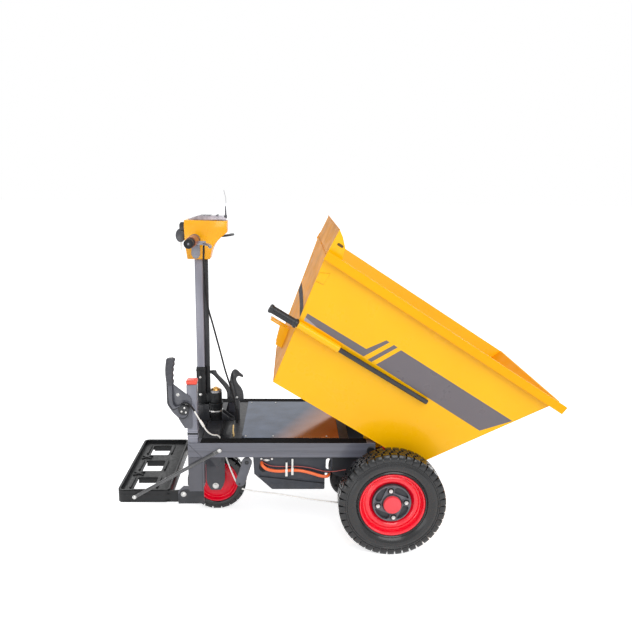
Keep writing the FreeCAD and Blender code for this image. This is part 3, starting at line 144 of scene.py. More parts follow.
# ---------------------------------------------------------------- chassis rails, cross tubes and legs
# Rectangular steel tube welded into a ladder frame, with lighter grey rails and black cross tubes.
# Rippled weld beads run where the rails meet the cross tubes and the legs.
def finish(name, colour, rough, metal=0.0, coat=0.0, cloud=6.0, depth=0.12, grain=700.0, bump=0.08,
           edge=0.0012, worn=None, wear=0.5, shine=0.5, stretch=(1.0, 1.0, 1.0)):
    """A surface with cloudy colour, uneven gloss, fine grain, rounded edges and worn corners."""
    made = bpy.data.materials.new(name)
    made.use_nodes = True
    nodes, links = made.node_tree.nodes, made.node_tree.links
    shader = nodes["Principled BSDF"]
    shader.inputs["Metallic"].default_value = metal
    shader.inputs["Coat Weight"].default_value = coat
    shader.inputs["Coat Roughness"].default_value = 0.08
    shader.inputs["Specular IOR Level"].default_value = shine
    mapping = nodes.new("ShaderNodeMapping")
    mapping.inputs["Scale"].default_value = stretch
    links.new(nodes.new("ShaderNodeTexCoord").outputs["Object"], mapping.inputs["Vector"])
    place = mapping.outputs["Vector"]

    def noise(scale, detail):
        node = nodes.new("ShaderNodeTexNoise")
        node.inputs["Scale"].default_value = scale
        node.inputs["Detail"].default_value = detail
        links.new(place, node.inputs["Vector"])
        return node.outputs["Fac"]

    def spread(value, low, high, to_low, to_high):
        node = nodes.new("ShaderNodeMapRange")
        links.new(value, node.inputs["Value"])
        for word, number in (("From Min", low), ("From Max", high), ("To Min", to_low),
                             ("To Max", to_high)):
            node.inputs[word].default_value = number
        return node.outputs["Result"]

    ramp = nodes.new("ShaderNodeValToRGB")
    ramp.color_ramp.elements[0].position, ramp.color_ramp.elements[1].position = 0.32, 0.68
    base = tint(colour)
    ramp.color_ramp.elements[0].color = tuple(v * (1 - depth) for v in base[:3]) + (1.0,)
    ramp.color_ramp.elements[1].color = tuple(min(1.0, v * (1 + depth)) for v in base[:3]) + (1.0,)
    links.new(noise(cloud, 4.0), ramp.inputs["Fac"])
    shown = ramp.outputs["Color"]
    links.new(spread(noise(cloud * 5, 5.0), 0.3, 0.7, rough * 0.8, min(1.0, rough * 1.25)),
              shader.inputs["Roughness"])
    rounded = nodes.new("ShaderNodeBevel")
    rounded.samples = 4
    rounded.inputs["Radius"].default_value = edge
    bumps = nodes.new("ShaderNodeBump")
    bumps.inputs["Strength"].default_value = bump
    bumps.inputs["Distance"].default_value = 0.001
    links.new(noise(grain, 2.0), bumps.inputs["Height"])
    links.new(rounded.outputs["Normal"], bumps.inputs["Normal"])
    links.new(bumps.outputs["Normal"], shader.inputs["Normal"])
    if worn:
        bend = nodes.new("ShaderNodeVectorMath")
        bend.operation = "DOT_PRODUCT"
        links.new(rounded.outputs["Normal"], bend.inputs[0])
        links.new(nodes.new("ShaderNodeNewGeometry").outputs["True Normal"], bend.inputs[1])
        rub = nodes.new("ShaderNodeMath")
        rub.operation = "MULTIPLY"
        links.new(spread(bend.outputs["Value"], 0.99, 0.8, 0.0, 1.0), rub.inputs[0])
        links.new(spread(noise(40.0, 4.0), 0.45, 0.6, 0.0, wear), rub.inputs[1])
        mix = nodes.new("ShaderNodeMix")
        mix.data_type = "RGBA"
        links.new(rub.outputs[0], mix.inputs[0])
        links.new(shown, mix.inputs[6])
        mix.inputs[7].default_value = tint(worn)
        shown = mix.outputs[2]
    links.new(shown, shader.inputs["Base Color"])
    return made


def dress(coat_of_paint, *names):
    """Gives CAD nodes their finish."""
    for name in names:
        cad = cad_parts[name].data
        if not cad.materials:
            cad.materials.append(coat_of_paint)
        for number in range(len(cad.materials)):
            cad.materials[number] = coat_of_paint


def as_mesh(curve):
    """Makes a mesh of a curve."""
    alone(curve)
    bpy.ops.object.convert(target="MESH")
    return bpy.context.active_object


def finished(piece, body, coat_of_paint, *instead_of, smooth=35):
    """Makes a mesh of a piece, applies its place, smooths it, paints it and sets it on its body."""
    if piece.type != "MESH":
        piece = as_mesh(piece)
    alone(piece)
    bpy.ops.object.transform_apply(location=True, rotation=True, scale=True)
    bpy.ops.object.shade_smooth_by_angle(angle=math.radians(smooth))
    piece.data.materials.clear()
    piece.data.materials.append(coat_of_paint)
    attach(piece, body)
    if instead_of:
        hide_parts(*instead_of)
    return piece


def placed(piece, middle, turn=0.0, axis="Y"):
    """Turns a piece about an axis through the origin, then moves it, and applies both."""
    alone(piece)
    piece.rotation_euler = [turn if axis == word else 0.0 for word in "XYZ"]
    piece.location = middle
    bpy.ops.object.transform_apply(location=True, rotation=True, scale=True)
    return piece


def soften(piece, width, steps=2, angle=30):
    """Rounds a piece's edges."""
    alone(piece)
    modifier = piece.modifiers.new("round", "BEVEL")
    modifier.width, modifier.segments = width, steps
    modifier.limit_method, modifier.angle_limit = "ANGLE", math.radians(angle)
    modifier.harden_normals = False
    bpy.ops.object.modifier_apply(modifier=modifier.name)
    return piece


def block(name, low, high, edge=0.002, steps=2):
    """A box between two corners, with rounded edges."""
    low, high = Vector(low), Vector(high)
    bpy.ops.object.select_all(action="DESELECT")
    bpy.ops.mesh.primitive_cube_add(size=1, location=(low + high) / 2)
    piece = bpy.context.active_object
    piece.name, piece.scale = name, high - low
    bpy.ops.object.transform_apply(location=True, rotation=True, scale=True)
    return soften(piece, edge, steps) if edge else piece


def bar(name, start, end, radius, sides=32, edge=0.001):
    """A round bar between two points."""
    start, end = Vector(start), Vector(end)
    bpy.ops.object.select_all(action="DESELECT")
    bpy.ops.mesh.primitive_cylinder_add(vertices=sides, radius=radius, depth=(end - start).length,
                                        location=(start + end) / 2,
                                        rotation=(end - start).to_track_quat("Z", "Y").to_euler())
    piece = bpy.context.active_object
    piece.name = name
    bpy.ops.object.transform_apply(location=True, rotation=True, scale=True)
    return soften(piece, edge, 2, 50) if edge else piece


def merged(name, pieces):
    """Several parts made one piece."""
    bpy.ops.object.select_all(action="DESELECT")
    for piece in pieces:
        piece.select_set(True)
    bpy.context.view_layer.objects.active = pieces[0]
    bpy.ops.object.join()
    pieces[0].name = name
    return pieces[0]


def drawn(name, lines, kind="POLY", closed=False, **settings):
    """A curve with one line through each list of (x, y, z) points; its settings say how thick it is."""
    curve = bpy.data.curves.new(name, "CURVE")
    for setting, value in settings.items():
        setattr(curve, setting, value)
    for line in lines:
        run = curve.splines.new(kind)
        run.points.add(len(line) - 1)
        for point, spot in zip(run.points, line):
            point.co = (*spot, 1.0)
        run.use_cyclic_u = closed
        if kind == "NURBS":
            run.order_u, run.use_endpoint_u = 3, not closed
    piece = bpy.data.objects.new(name, curve)
    scene.collection.objects.link(piece)
    return piece


def bead(name, start, end, thick, pitch=0.004):
    """A weld bead with its ripples, between two points."""
    start, end = Vector(start), Vector(end)
    count = max(4, 2 * round((end - start).length / pitch))
    curve = drawn(name, [[start.lerp(end, number / count) for number in range(count + 1)]], dimensions="3D",
                  bevel_depth=thick, bevel_resolution=1, use_fill_caps=True)
    for number, point in enumerate(curve.data.splines[0].points):
        point.radius = 1.0 if number % 2 else 0.78
    return as_mesh(curve)


frame_grey = finish("frame_grey_paint", "47474F", 0.36, coat=0.35, cloud=9.0, depth=0.16, grain=520.0,
                    bump=0.12, edge=0.003, worn="9A9AA2", wear=0.35)
frame_black = finish("frame_black_paint", "26272B", 0.4, coat=0.15, cloud=12.0, depth=0.2, grain=520.0,
                     bump=0.12, edge=0.003, worn="5C5C62", wear=0.35, shine=0.3)
rail_grey = finish("rail_paint", "595A64", 0.3, coat=0.35, cloud=26.0, depth=0.2, grain=420.0, bump=0.1,
                   edge=0.003, worn="A2A2AA", wear=0.35, stretch=(0.05, 1.0, 3.0))
dress(rail_grey, "rail_left", "rail_right")
dress(frame_grey, "rear_legs")
dress(frame_black, "cross_tubes", "cross_head", "axle_hangers")

both_sides = ((1, "left"), (-1, "right"))
head_low, head_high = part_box("cross_head")
rail_low, rail_top, rail_in, rail_out = (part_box("rail_left")[0].z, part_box("rail_left")[1].z, head_high.y,
                                         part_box("rail_left")[1].y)
leg_low, leg_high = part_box("rear_legs")
tube_edges = (-0.595, -0.545, -0.428, -0.382, 0.019, 0.059)
for side, word in both_sides:
    inner = side * rail_in
    beads = [bead("weld_upright", (x, inner, rail_low + 0.004), (x, inner, rail_top - 0.004), 0.0028)
             for x in (head_low.x, head_high.x, *tube_edges)]
    beads += [bead("weld_top", (x, inner, rail_top), (x, inner - side * 0.006, rail_top), 0.002)
              for x in tube_edges]
    beads += [bead("weld_leg", (leg_low.x + 0.054, side * y, rail_low),
                   (leg_high.x - 0.003, side * y, rail_low), 0.003)
              for y in (rail_in + 0.003, rail_out - 0.001)]
    finished(merged("frame_welds_" + word, beads), "chassis", frame_grey, smooth=50)


# ---------------------------------------------------------------- deck sheet and its screws
# A flat steel sheet over the batteries, in semi-gloss grey paint whose colour turns warm orange-brown toward
# the bucket: a painted reflection of the yellow bucket. Small zinc screws hold its corners and edges.
deck_paint = finish("deck_paint", "4E5769", 0.1, metal=0.85, coat=0.1, cloud=14.0, depth=0.25, grain=260.0,
                    bump=0.05, edge=0.0006, worn="8C8C90", wear=0.4)
deck_nodes, deck_links = deck_paint.node_tree.nodes, deck_paint.node_tree.links
paint = deck_nodes["Principled BSDF"].inputs["Base Color"]
unreflected_colour = paint.links[0].from_socket
along_deck = deck_nodes.new("ShaderNodeVectorMath")
along_deck.operation = "DOT_PRODUCT"
along_deck.inputs[1].default_value = (1.0, -0.43, 0.0)
deck_links.new(deck_nodes.new("ShaderNodeTexCoord").outputs["Object"], along_deck.inputs[0])
reflection_toward_bucket = deck_nodes.new("ShaderNodeMapRange")
for word, number in (("From Min", -0.17), ("From Max", 0.06)):
    reflection_toward_bucket.inputs[word].default_value = number
deck_links.new(along_deck.outputs["Value"], reflection_toward_bucket.inputs["Value"])
# painted reflection: the grey is mixed toward warm orange-brown near the bucket, standing in for the
# bucket's reflection in the sheet
painted_bucket_reflection = deck_nodes.new("ShaderNodeMix")
painted_bucket_reflection.data_type = "RGBA"
painted_bucket_reflection.inputs[7].default_value = tint("D08A55")
deck_links.new(reflection_toward_bucket.outputs["Result"], painted_bucket_reflection.inputs[0])
deck_links.new(unreflected_colour, painted_bucket_reflection.inputs[6])
deck_links.new(painted_bucket_reflection.outputs[2], paint)
zinc = finish("zinc_plate", "C9C8C6", 0.3, metal=0.9, cloud=60.0, depth=0.1, grain=900.0, bump=0.05,
              edge=0.0004)
dress(deck_paint, "deck_plate")
low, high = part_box("deck_plate")
screws = [bar("deck_screw", (x, y, high.z - 0.0005), (x, y, high.z + 0.0022), 0.0042, 16, 0.0008)
          for x in (low.x + 0.016, low.x + 0.13, high.x - 0.05) for y in (low.y + 0.016, high.y - 0.016)]
finished(merged("deck_screws", screws), "chassis", zinc)


# ---------------------------------------------------------------- battery box under the deck
# A folded steel case with a slanted rear corner, a lid joint, screws along its top and a grommet.
# The orange conduit comes out of the grommet and is tied up with white cable ties.
def closed_up(piece):
    """Joins a mesh's double points and turns its faces outward."""
    alone(piece)
    bpy.ops.object.mode_set(mode="EDIT")
    bpy.ops.mesh.select_all(action="SELECT")
    bpy.ops.mesh.remove_doubles(threshold=0.00001)
    bpy.ops.mesh.normals_make_consistent(inside=False)
    bpy.ops.object.mode_set(mode="OBJECT")
    return piece


def cut_plate(name, outline, thick, holes=(), edge=0.0, kind="POLY"):
    """A flat piece cut to an outline of (x, z) points, middle at y = 0."""
    loops = [[(x, z, 0.0) for x, z in loop] for loop in (outline, *holes)]
    flat = drawn(name, loops, kind, True, dimensions="2D", fill_mode="BOTH", extrude=thick / 2,
                 resolution_u=6)
    piece = closed_up(placed(as_mesh(flat), (0, 0, 0), math.pi / 2, "X"))
    return soften(piece, edge, 2, 40) if edge else piece


def ring_points(x, z, radius, angles=range(0, 360, 15)):
    """Points round a circle at angles in degrees, for a hole or a rounded end."""
    return [(x + radius * math.cos(math.radians(angle)), z + radius * math.sin(math.radians(angle)))
            for angle in angles]


box_paint = finish("battery_box_paint", "34373F", 0.42, coat=0.1, cloud=10.0, depth=0.14, grain=600.0,
                   bump=0.1, edge=0.002, worn="6A6A72", wear=0.3, shine=0.35)
black_rubber = finish("black_rubber", "17171A", 0.6, cloud=30.0, depth=0.2, grain=900.0, bump=0.15,
                      edge=0.0005, shine=0.3)
low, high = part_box("battery_box")
slant = ((low.x, high.z), (low.x + 0.005, high.z - 0.084), (low.x + 0.077, low.z), (high.x, low.z),
         (high.x, high.z))
case = cut_plate("battery_case", slant, high.y - low.y - 0.003, edge=0.004)
seam = low.z + 0.064
cover = cut_plate("battery_cover", ((low.x + 0.0005, high.z), (low.x + 0.005, high.z - 0.084),
                                    (low.x + 0.014, seam + 0.004), (high.x - 0.001, seam - 0.026),
                                    (high.x - 0.001, high.z)), high.y - low.y, edge=0.0015)
finished(merged("battery_box_case", [case, cover]), "chassis", box_paint, "battery_box")
screws = [bar("box_screw", (x, low.y + 0.001, high.z - 0.015), (x, low.y - 0.0028, high.z - 0.015), 0.0045,
              14, 0.0008) for x in (low.x + 0.035, low.x + 0.078)]
finished(merged("battery_box_screws", screws), "chassis", zinc)


def turned(name, outline, middle, steps=64, axis="Y"):
    """A turned piece: (radius, distance along the axis) points, swept round the axis."""
    piece = as_mesh(drawn(name, [[(radius, along, 0.0) for radius, along in outline]], dimensions="3D"))
    bpy.ops.object.mode_set(mode="EDIT")
    bpy.ops.mesh.select_all(action="SELECT")
    bpy.ops.mesh.spin(steps=steps, angle=2 * math.pi, center=(0, 0, 0), axis=(0, 1, 0))
    bpy.ops.object.mode_set(mode="OBJECT")
    turn, about = {"X": (-math.pi / 2, "Z"), "Y": (0.0, "Y"), "Z": (math.pi / 2, "X")}[axis]
    return placed(closed_up(piece), middle, turn, about)


grommet = turned("battery_grommet", ((0.0, -0.0005), (0.0075, -0.0005), (0.0075, -0.0035), (0.0125, -0.004),
                                     (0.0145, -0.002), (0.0145, 0.004), (0.0, 0.004)),
                 (0, 0, 0), 32)
grommet.scale = (1.25, 1.0, 1.5)
placed(grommet, (low.x + 0.043, low.y, high.z - 0.05))
joint = bar("battery_case_joint", (low.x + 0.026, low.y - 0.0002, low.z + 0.0585),
            (high.x - 0.001, low.y - 0.0002, low.z + 0.027), 0.0013, 8, 0)
finished(merged("battery_box_gaps", [grommet, joint]), "chassis", black_rubber)
badge = turned("battery_box_badge", ((0.0, -0.0014), (0.007, -0.0012), (0.0085, 0.0), (0.0, 0.0)),
               (0, 0, 0), 32)
badge.scale = (1.5, 1.0, 0.6)
placed(badge, (low.x + 0.056, low.y, high.z - 0.021))
finished(badge, "chassis", zinc)
slot = [(x, z + (0.014 if number < 12 else -0.014))
        for number, (x, z) in enumerate(ring_points(high.x + 0.0135, high.z - 0.038, 0.0098))]
hanger = cut_plate("battery_box_ear", ((high.x - 0.004, high.z - 0.001), (high.x + 0.029, high.z - 0.001),
                                       (high.x + 0.029, high.z - 0.068), (high.x + 0.02, high.z - 0.078),
                                       (high.x - 0.004, high.z - 0.078)), 0.003, (slot,), 0.0006)
placed(hanger, (0, low.y + 0.003, 0))
finished(hanger, "chassis", box_paint)


def run_of(name, points, radius, sides=3):
    """A smooth round line through space that ends where its first and last points are."""
    return drawn(name, [points], "NURBS", dimensions="3D", bevel_depth=radius, bevel_resolution=sides,
                 use_fill_caps=True, resolution_u=10)


conduit_orange = finish("conduit_orange", "F06A2C", 0.38, coat=0.2, cloud=40.0, depth=0.1, grain=500.0,
                        bump=0.1, edge=0.0004)
wire_white = finish("white_plastic", "E9E7E2", 0.4, cloud=60.0, depth=0.05, grain=700.0, bump=0.08,
                    edge=0.0003)
wire_red = finish("thin_wire_red", "B8524A", 0.45, cloud=60.0, depth=0.1, grain=700.0, bump=0.05,
                  edge=0.0003)
conduit = run_of("battery_conduit_tube", (
    (-0.298, -0.261, 0.326), (-0.298, -0.282, 0.326), (-0.28, -0.285, 0.308), (-0.25, -0.279, 0.297),
    (-0.216, -0.275, 0.293), (-0.179, -0.274, 0.298), (-0.134, -0.274, 0.296), (-0.089, -0.275, 0.284),
    (-0.057, -0.274, 0.272), (-0.027, -0.273, 0.268), (-0.02, -0.245, 0.268), (-0.02, -0.219, 0.268),
    (-0.0073, -0.189, 0.265)), 0.0065, 4)
finished(conduit, "chassis", conduit_orange, "battery_conduit")
sense = run_of("battery_thin_wire", (
    (-0.296, -0.263, 0.331), (-0.286, -0.275, 0.327), (-0.262, -0.272, 0.315), (-0.225, -0.27, 0.311),
    (-0.185, -0.27, 0.313), (-0.14, -0.269, 0.312), (-0.095, -0.268, 0.305), (-0.055, -0.267, 0.292),
    (-0.02, -0.262, 0.285), (0.012, -0.252, 0.283), (0.05, -0.246, 0.288)), 0.0014, 2)
finished(sense, "chassis", wire_red)
ties = []
for x, z, tall in ((-0.196, 0.298, 0.034), (-0.172, 0.304, 0.044)):
    loop = turned("cable_tie", ((0.0082, -0.002), (0.0094, -0.002), (0.0094, 0.002), (0.0082, 0.002),
                                (0.0082, -0.002)), (x, -0.2745, z - 0.004), 24, "X")
    tail = block("tie_tail", (x - 0.0038, -0.2775, z + 0.002), (x + 0.0038, -0.2745, z + tall), 0.001, 2)
    head = block("tie_head", (x - 0.005, -0.288, z - 0.022), (x + 0.005, -0.281, z + 0.009), 0.0016, 2)
    ties += [loop, tail, head]
finished(merged("cable_ties", ties), "chassis", wire_white)


# ---------------------------------------------------------------- motor, gear case and axle tubes
# A cast motor can with cooling ribs on a two-part gear case with a bolted flange.
# Steel axle tubes run from it to both hubs; all of it is sprayed black.
cast_black = finish("cast_black", "18191B", 0.5, metal=0.15, coat=0.1, cloud=22.0, depth=0.25, grain=320.0,
                    bump=0.35, edge=0.0015, worn="5B5B5E", wear=0.35, shine=0.3)
low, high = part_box("motor")
mid = (low + high) / 2
reach, radius = (high.y - low.y) / 2, (high.z - low.z) / 2
outline = [(0.0, -reach), (radius - 0.03, -reach), (radius - 0.026, -reach + 0.008),
           (radius - 0.008, -reach + 0.008), (radius, -reach + 0.014), (radius, -reach + 0.024),
           (radius - 0.006, -reach + 0.026)]
for rib in range(9):
    at = -reach + 0.032 + rib * 0.0105
    outline += [(radius - 0.006, at), (radius - 0.001, at + 0.001), (radius - 0.001, at + 0.004),
                (radius - 0.006, at + 0.005)]
outline += [(radius - 0.006, reach - 0.014), (radius, reach - 0.012), (radius, reach), (0.0, reach)]
can = turned("motor_can", outline, mid, 56)
bolts = [bar("motor_bolt", (x, low.y + 0.009, z), (x, low.y + 0.003, z), 0.006, 6, 0.0008)
         for x, z in ring_points(mid.x, mid.z, radius - 0.017, range(30, 360, 60))]
finished(merged("motor_body", [can] + bolts), "chassis", cast_black, "motor")
low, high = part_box("gear_case")
mid = (low + high) / 2
axle_x, axle_z = 0.223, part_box("tyre_left")[1].z / 2


def gear_outline(nose, back):
    """The gear case seen from the side: round about the axle and about the motor's shaft."""
    return (ring_points(axle_x, axle_z, nose, range(-84, 85, 12))
            + ring_points(low.x + 0.062, mid.z, back, range(96, 265, 12)))


case = cut_plate("gear_case_body", gear_outline(0.04, 0.056), high.y - low.y - 0.008, edge=0.007)
flange = cut_plate("gear_case_flange", gear_outline(0.0435, 0.0605), 0.012, edge=0.0015)
pads = [bar("gear_pad", (axle_x, side * 0.05, axle_z), (axle_x, side * 0.058, axle_z), 0.034, 48, 0.004)
        for side in (1, -1)]
screws = [bar("gear_screw", (x, -0.011, z), (x, 0.011, z), 0.005, 6, 0.0006)
          for x, z in ((0.02, 0.235), (0.02, 0.205), (0.085, 0.273), (0.085, 0.17), (0.16, 0.261),
                       (0.16, 0.175), (0.252, 0.236), (0.252, 0.19))]
finished(merged("gear_housing", [case, flange] + pads + screws), "chassis", cast_black, "gear_case")
dress(cast_black, "axle_tubes")


# ---------------------------------------------------------------- driven wheels
# Two-piece pressed wheels in bright red, with air tyres whose block tread wraps over the shoulders.
# A dark cast hub carries each wheel: it has a grey face with four pockets and nuts, and a flat red cap.
def facing(side, outline):
    """A turned piece's (radius, along) outline, with its outer end to the left (1) or to the right (-1)."""
    return [(radius, side * along) for radius, along in outline]


def both_walls(wall):
    """A tyre's closed outline from one sidewall, which ends in the middle of the tread."""
    return [*wall, *facing(-1, reversed(wall[:-1])), wall[0]]


def all_round(piece, count, middle):
    """Copies a piece round an axle along Y, evenly."""
    alone(piece)
    bpy.ops.object.mode_set(mode="EDIT")
    bpy.ops.mesh.select_all(action="SELECT")
    bpy.ops.mesh.spin(steps=count - 1, dupli=True, angle=2 * math.pi * (count - 1) / count, center=middle,
                      axis=(0, 1, 0))
    bpy.ops.object.mode_set(mode="OBJECT")
    return piece


def tread_block(name, outline, wide, middle, turn=0.0, skew=0.0):
    """One rubber block: its (across, out) outline, standing on top of the wheel."""
    piece = cut_plate(name, outline, wide, edge=0.0011)
    placed(piece, (0, 0, 0), math.pi / 2 + skew, "Z")
    return placed(piece, middle, turn)


tyre_black = finish("tyre_rubber", "17181A", 0.24, cloud=18.0, depth=0.16, grain=420.0, bump=0.08,
                    edge=0.0008, coat=0.18, shine=0.42)
rim_red = finish("rim_red_paint", "F20024", 0.2, coat=0.6, cloud=8.0, depth=0.05, grain=140.0, bump=0.015,
                 edge=0.0012, shine=0.4)
cap_red = finish("cap_red_plastic", "EE4650", 0.4, cloud=30.0, depth=0.05, grain=500.0, bump=0.06,
                 edge=0.0006)
hub_grey = finish("hub_cast_grey", "5C5D63", 0.4, metal=0.35, coat=0.1, cloud=40.0, depth=0.2, grain=380.0,
                  bump=0.3, edge=0.0015)
hub_dark = finish("hub_cast_dark", "303136", 0.45, metal=0.2, coat=0.05, cloud=40.0, depth=0.2, grain=380.0,
                  bump=0.3, edge=0.0015)
low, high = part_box("tyre_left")
centre = (low + high) / 2
sidewall = ((0.124, 0.03), (0.1305, 0.0352), (0.1325, 0.0402), (0.136, 0.0425), (0.1385, 0.0395),
            (0.141, 0.0378), (0.1445, 0.0402), (0.15, 0.0438), (0.156, 0.0466), (0.162, 0.0484),
            (0.168, 0.0489), (0.173, 0.0478), (0.1765, 0.0455), (0.1785, 0.0455), (0.1805, 0.0478),
            (0.1835, 0.0478), (0.186, 0.0462), (0.193, 0.0445), (0.2, 0.0405), (0.2045, 0.033),
            (0.2065, 0.018), (0.207, 0.0))
shoulder = ((0.0475, 0.1865), (0.0462, 0.2), (0.0425, 0.2085), (0.0385, 0.2125), (0.0185, 0.2126),
            (0.0195, 0.203), (0.036, 0.199), (0.044, 0.19))
crown = ((0.0015, 0.2055), (0.0015, 0.2127), (0.0155, 0.2127), (0.0155, 0.205))
pocket = ((15, 0.05), (14, 0.06), (23, 0.0705), (41, 0.0725), (62, 0.0725), (79, 0.071), (77, 0.065),
          (66, 0.056), (50, 0.048), (32, 0.0445), (20, 0.0455))
block_count = 42
block_step = 2 * math.pi / block_count
hub_arm = 0.0565
for side, word in both_sides:
    middle = Vector((centre.x, side * centre.y, centre.z))
    body = "wheel_" + word
    rubber = [turned("tyre_carcass_" + word, both_walls(sidewall), middle, 96)]
    for face in (1, -1):
        start = block_step / 2 * (face > 0)
        for outline, wide, turn, skew in ((shoulder, 0.0245, start, 0.0),
                                          (crown, 0.025, start + block_step / 4, 0.22)):
            mirror = [(face * across, out) for across, out in outline]
            rubber.append(all_round(tread_block("tread_block", mirror, wide, middle, turn, skew),
                                    block_count, middle))
    finished(merged("tyre_tread_" + word, rubber), body, tyre_black, "tyre_" + word)
    wheel = turned("wheel_disc_" + word, facing(side, (
        (0.07, 0.004), (0.076, 0.005), (0.082, 0.0085), (0.0875, 0.0155), (0.0935, 0.0205), (0.1, 0.0215),
        (0.1055, 0.019), (0.1095, 0.0165), (0.1135, 0.0185), (0.1165, 0.0245), (0.1205, 0.0325),
        (0.1245, 0.0372), (0.1285, 0.0382), (0.1308, 0.0362), (0.1305, 0.0335), (0.1255, 0.03),
        (0.1225, 0.024), (0.1215, 0.0), (0.1225, -0.024), (0.1255, -0.03), (0.1305, -0.0335),
        (0.1308, -0.0362), (0.1285, -0.0382), (0.1245, -0.0372), (0.1205, -0.0325), (0.118, -0.02),
        (0.1175, 0.01), (0.112, 0.0125), (0.1, 0.0165), (0.09, 0.0105), (0.078, 0.0),
        (0.07, 0.0), (0.07, 0.004))), middle, 96)
    finished(wheel, body, rim_red, "rim_" + word)
    hub = turned("hub_body_" + word, facing(side, (
        (0.0, 0.03), (0.032, 0.03), (0.039, 0.0255), (0.044, 0.014), (0.07, 0.012), (0.0745, 0.0155),
        (0.0775, 0.0155), (0.079, 0.0125), (0.0785, 0.002), (0.05, -0.002), (0.05, -0.006), (0.074, -0.008),
        (0.076, -0.012), (0.076, -0.02), (0.0725, -0.021), (0.0725, -0.026), (0.076, -0.027),
        (0.076, -0.034), (0.0725, -0.035), (0.0725, -0.04), (0.076, -0.041), (0.076, -0.048),
        (0.073, -0.0525), (0.0, -0.0525))), middle, 64)
    pockets = [
        [point for angle, radius in pocket for point in ring_points(0, 0, radius, [90 - quarter - angle])]
        for quarter in (0, 90, 180, 270)]
    plate = cut_plate("hub_face_" + word, ring_points(0, 0, 0.0765, range(0, 360, 5)), 0.0095, pockets,
                      0.0022)
    placed(plate, (0, side * 0.0175, 0))
    boss = turned("hub_boss_" + word, facing(side, ((0.0125, 0.018), (0.0162, 0.018), (0.0158, 0.0262),
                                                    (0.0135, 0.027), (0.0125, 0.0262), (0.0125, 0.018))),
                  (0, 0, hub_arm), 24)
    well, nut, stud = (
        bar("hub_%s_%s" % (part, word), (0, side * near, hub_arm), (0, side * far, hub_arm),
            radius, corners, edge)
        for part, near, far, radius, corners, edge in (
            ("well", 0.018, 0.0248, 0.0126, 24, 0), ("nut", 0.0255, 0.0335, 0.0088, 6, 0.0012),
            ("stud", 0.033, 0.0375, 0.0052, 16, 0.001)))
    finished(hub, body, hub_dark, "hub_" + word)
    arms = merged("hub_arms_" + word, [plate, all_round(boss, 4, (0, 0, 0))])
    # painted shade: the wells round the nuts take the black cast finish, so the recesses read dark as shade
    shaded_wells = all_round(well, 4, (0, 0, 0))
    nuts = all_round(merged("hub_nuts_" + word, [nut, stud]), 4, (0, 0, 0))
    for ring, paint in ((arms, hub_grey), (shaded_wells, cast_black), (nuts, zinc)):
        finished(placed(ring, middle, -0.12), body, paint)
    cap = turned("dust_cap_" + word, facing(side, (
        (0.0, 0.0425), (0.0295, 0.0425), (0.0335, 0.041), (0.0352, 0.0375),
        (0.0355, 0.028), (0.0, 0.028))), middle, 48)
    finished(cap, body, cap_red)


# ---------------------------------------------------------------- steered wheel and its fork
# A small pressed red wheel with a tyre of large tread blocks, in a plate fork under the head tube.
# A zinc axle bolt with washers goes through the fork's feet.
low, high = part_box("tyre_steer")
middle = (low + high) / 2
wall = ((0.092, 0.0205), (0.0965, 0.0285), (0.1, 0.031), (0.112, 0.0318), (0.1185, 0.0295), (0.1225, 0.026),
        (0.1245, 0.02), (0.1255, 0.0))
rubber = [turned("small_tyre_carcass", both_walls(wall), middle, 80)]
for face in (1, -1):
    mirror = [(face * across, out) for across, out in (
        (0.0329, 0.113), (0.0322, 0.1225), (0.0295, 0.1278), (0.025, 0.1302), (0.0015, 0.1304),
        (0.0015, 0.124), (0.026, 0.1215), (0.0305, 0.114))]
    block_turn = math.pi / 20 * (face > 0)
    rubber.append(all_round(tread_block("small_tyre_block", mirror, 0.034, middle, block_turn), 20, middle))
finished(merged("tyre_steer_tread", rubber), "steer_wheel", tyre_black, "tyre_steer")
# painted light: the small wheel's red is brighter than the driven wheels' red, to make up for the shade it
# stands in under the frame
steer_rim_brightened = finish("small_rim_red_painted_light", "FF0030", 0.22, coat=0.4, cloud=8.0, depth=0.05, grain=140.0, bump=0.015,
                  edge=0.0012, shine=0.2)
half_disc = (
    (0.009, 0.0625), (0.024, 0.0625), (0.026, 0.0605), (0.027, 0.022), (0.034, 0.0175),
    (0.046, 0.0205), (0.06, 0.0205), (0.072, 0.0165), (0.079, 0.0125), (0.083, 0.0135), (0.0855, 0.0225),
    (0.0895, 0.0265), (0.0935, 0.0272), (0.096, 0.0255), (0.0955, 0.0225), (0.0915, 0.0195),
    (0.0905, 0.0), (0.009, 0.0), (0.009, 0.0625))
discs = [turned("small_disc", facing(side, half_disc), middle, 72) for side in (1, -1)]
finished(merged("rim_steer_disc", discs), "steer_wheel", steer_rim_brightened, "rim_steer")

low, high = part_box("fork")
legs = []
for side in (1, -1):
    leg = cut_plate("fork_leg",
                    ((low.x, 0.29), (low.x, 0.16), (low.x + 0.008, 0.132), (middle.x - 0.022, 0.1115),
                     (middle.x + 0.022, 0.1115), (high.x - 0.008, 0.132), (high.x, 0.16), (high.x, 0.29)),
                    0.006, edge=0.0012)
    legs.append(placed(leg, (0, side * (high.y - 0.003), 0)))
    web = cut_plate("fork_web", ((low.x + 0.012, 0.278), (low.x + 0.012, 0.266), (high.x - 0.034, 0.22),
                                 (high.x - 0.012, 0.245), (high.x - 0.012, 0.278)), 0.004, edge=0.001)
    legs.append(placed(web, (0, side * (high.y + 0.0015), 0)))
crown = block("fork_crown", (low.x, low.y, 0.277), (high.x, high.y, 0.2915), 0.003)
seat = turned("fork_seat", ((0.0, 0.285), (0.034, 0.285), (0.034, 0.298), (0.0285, 0.304), (0.0285, 0.322),
                            (0.0, 0.322)), (middle.x, 0, 0), 40, "Z")
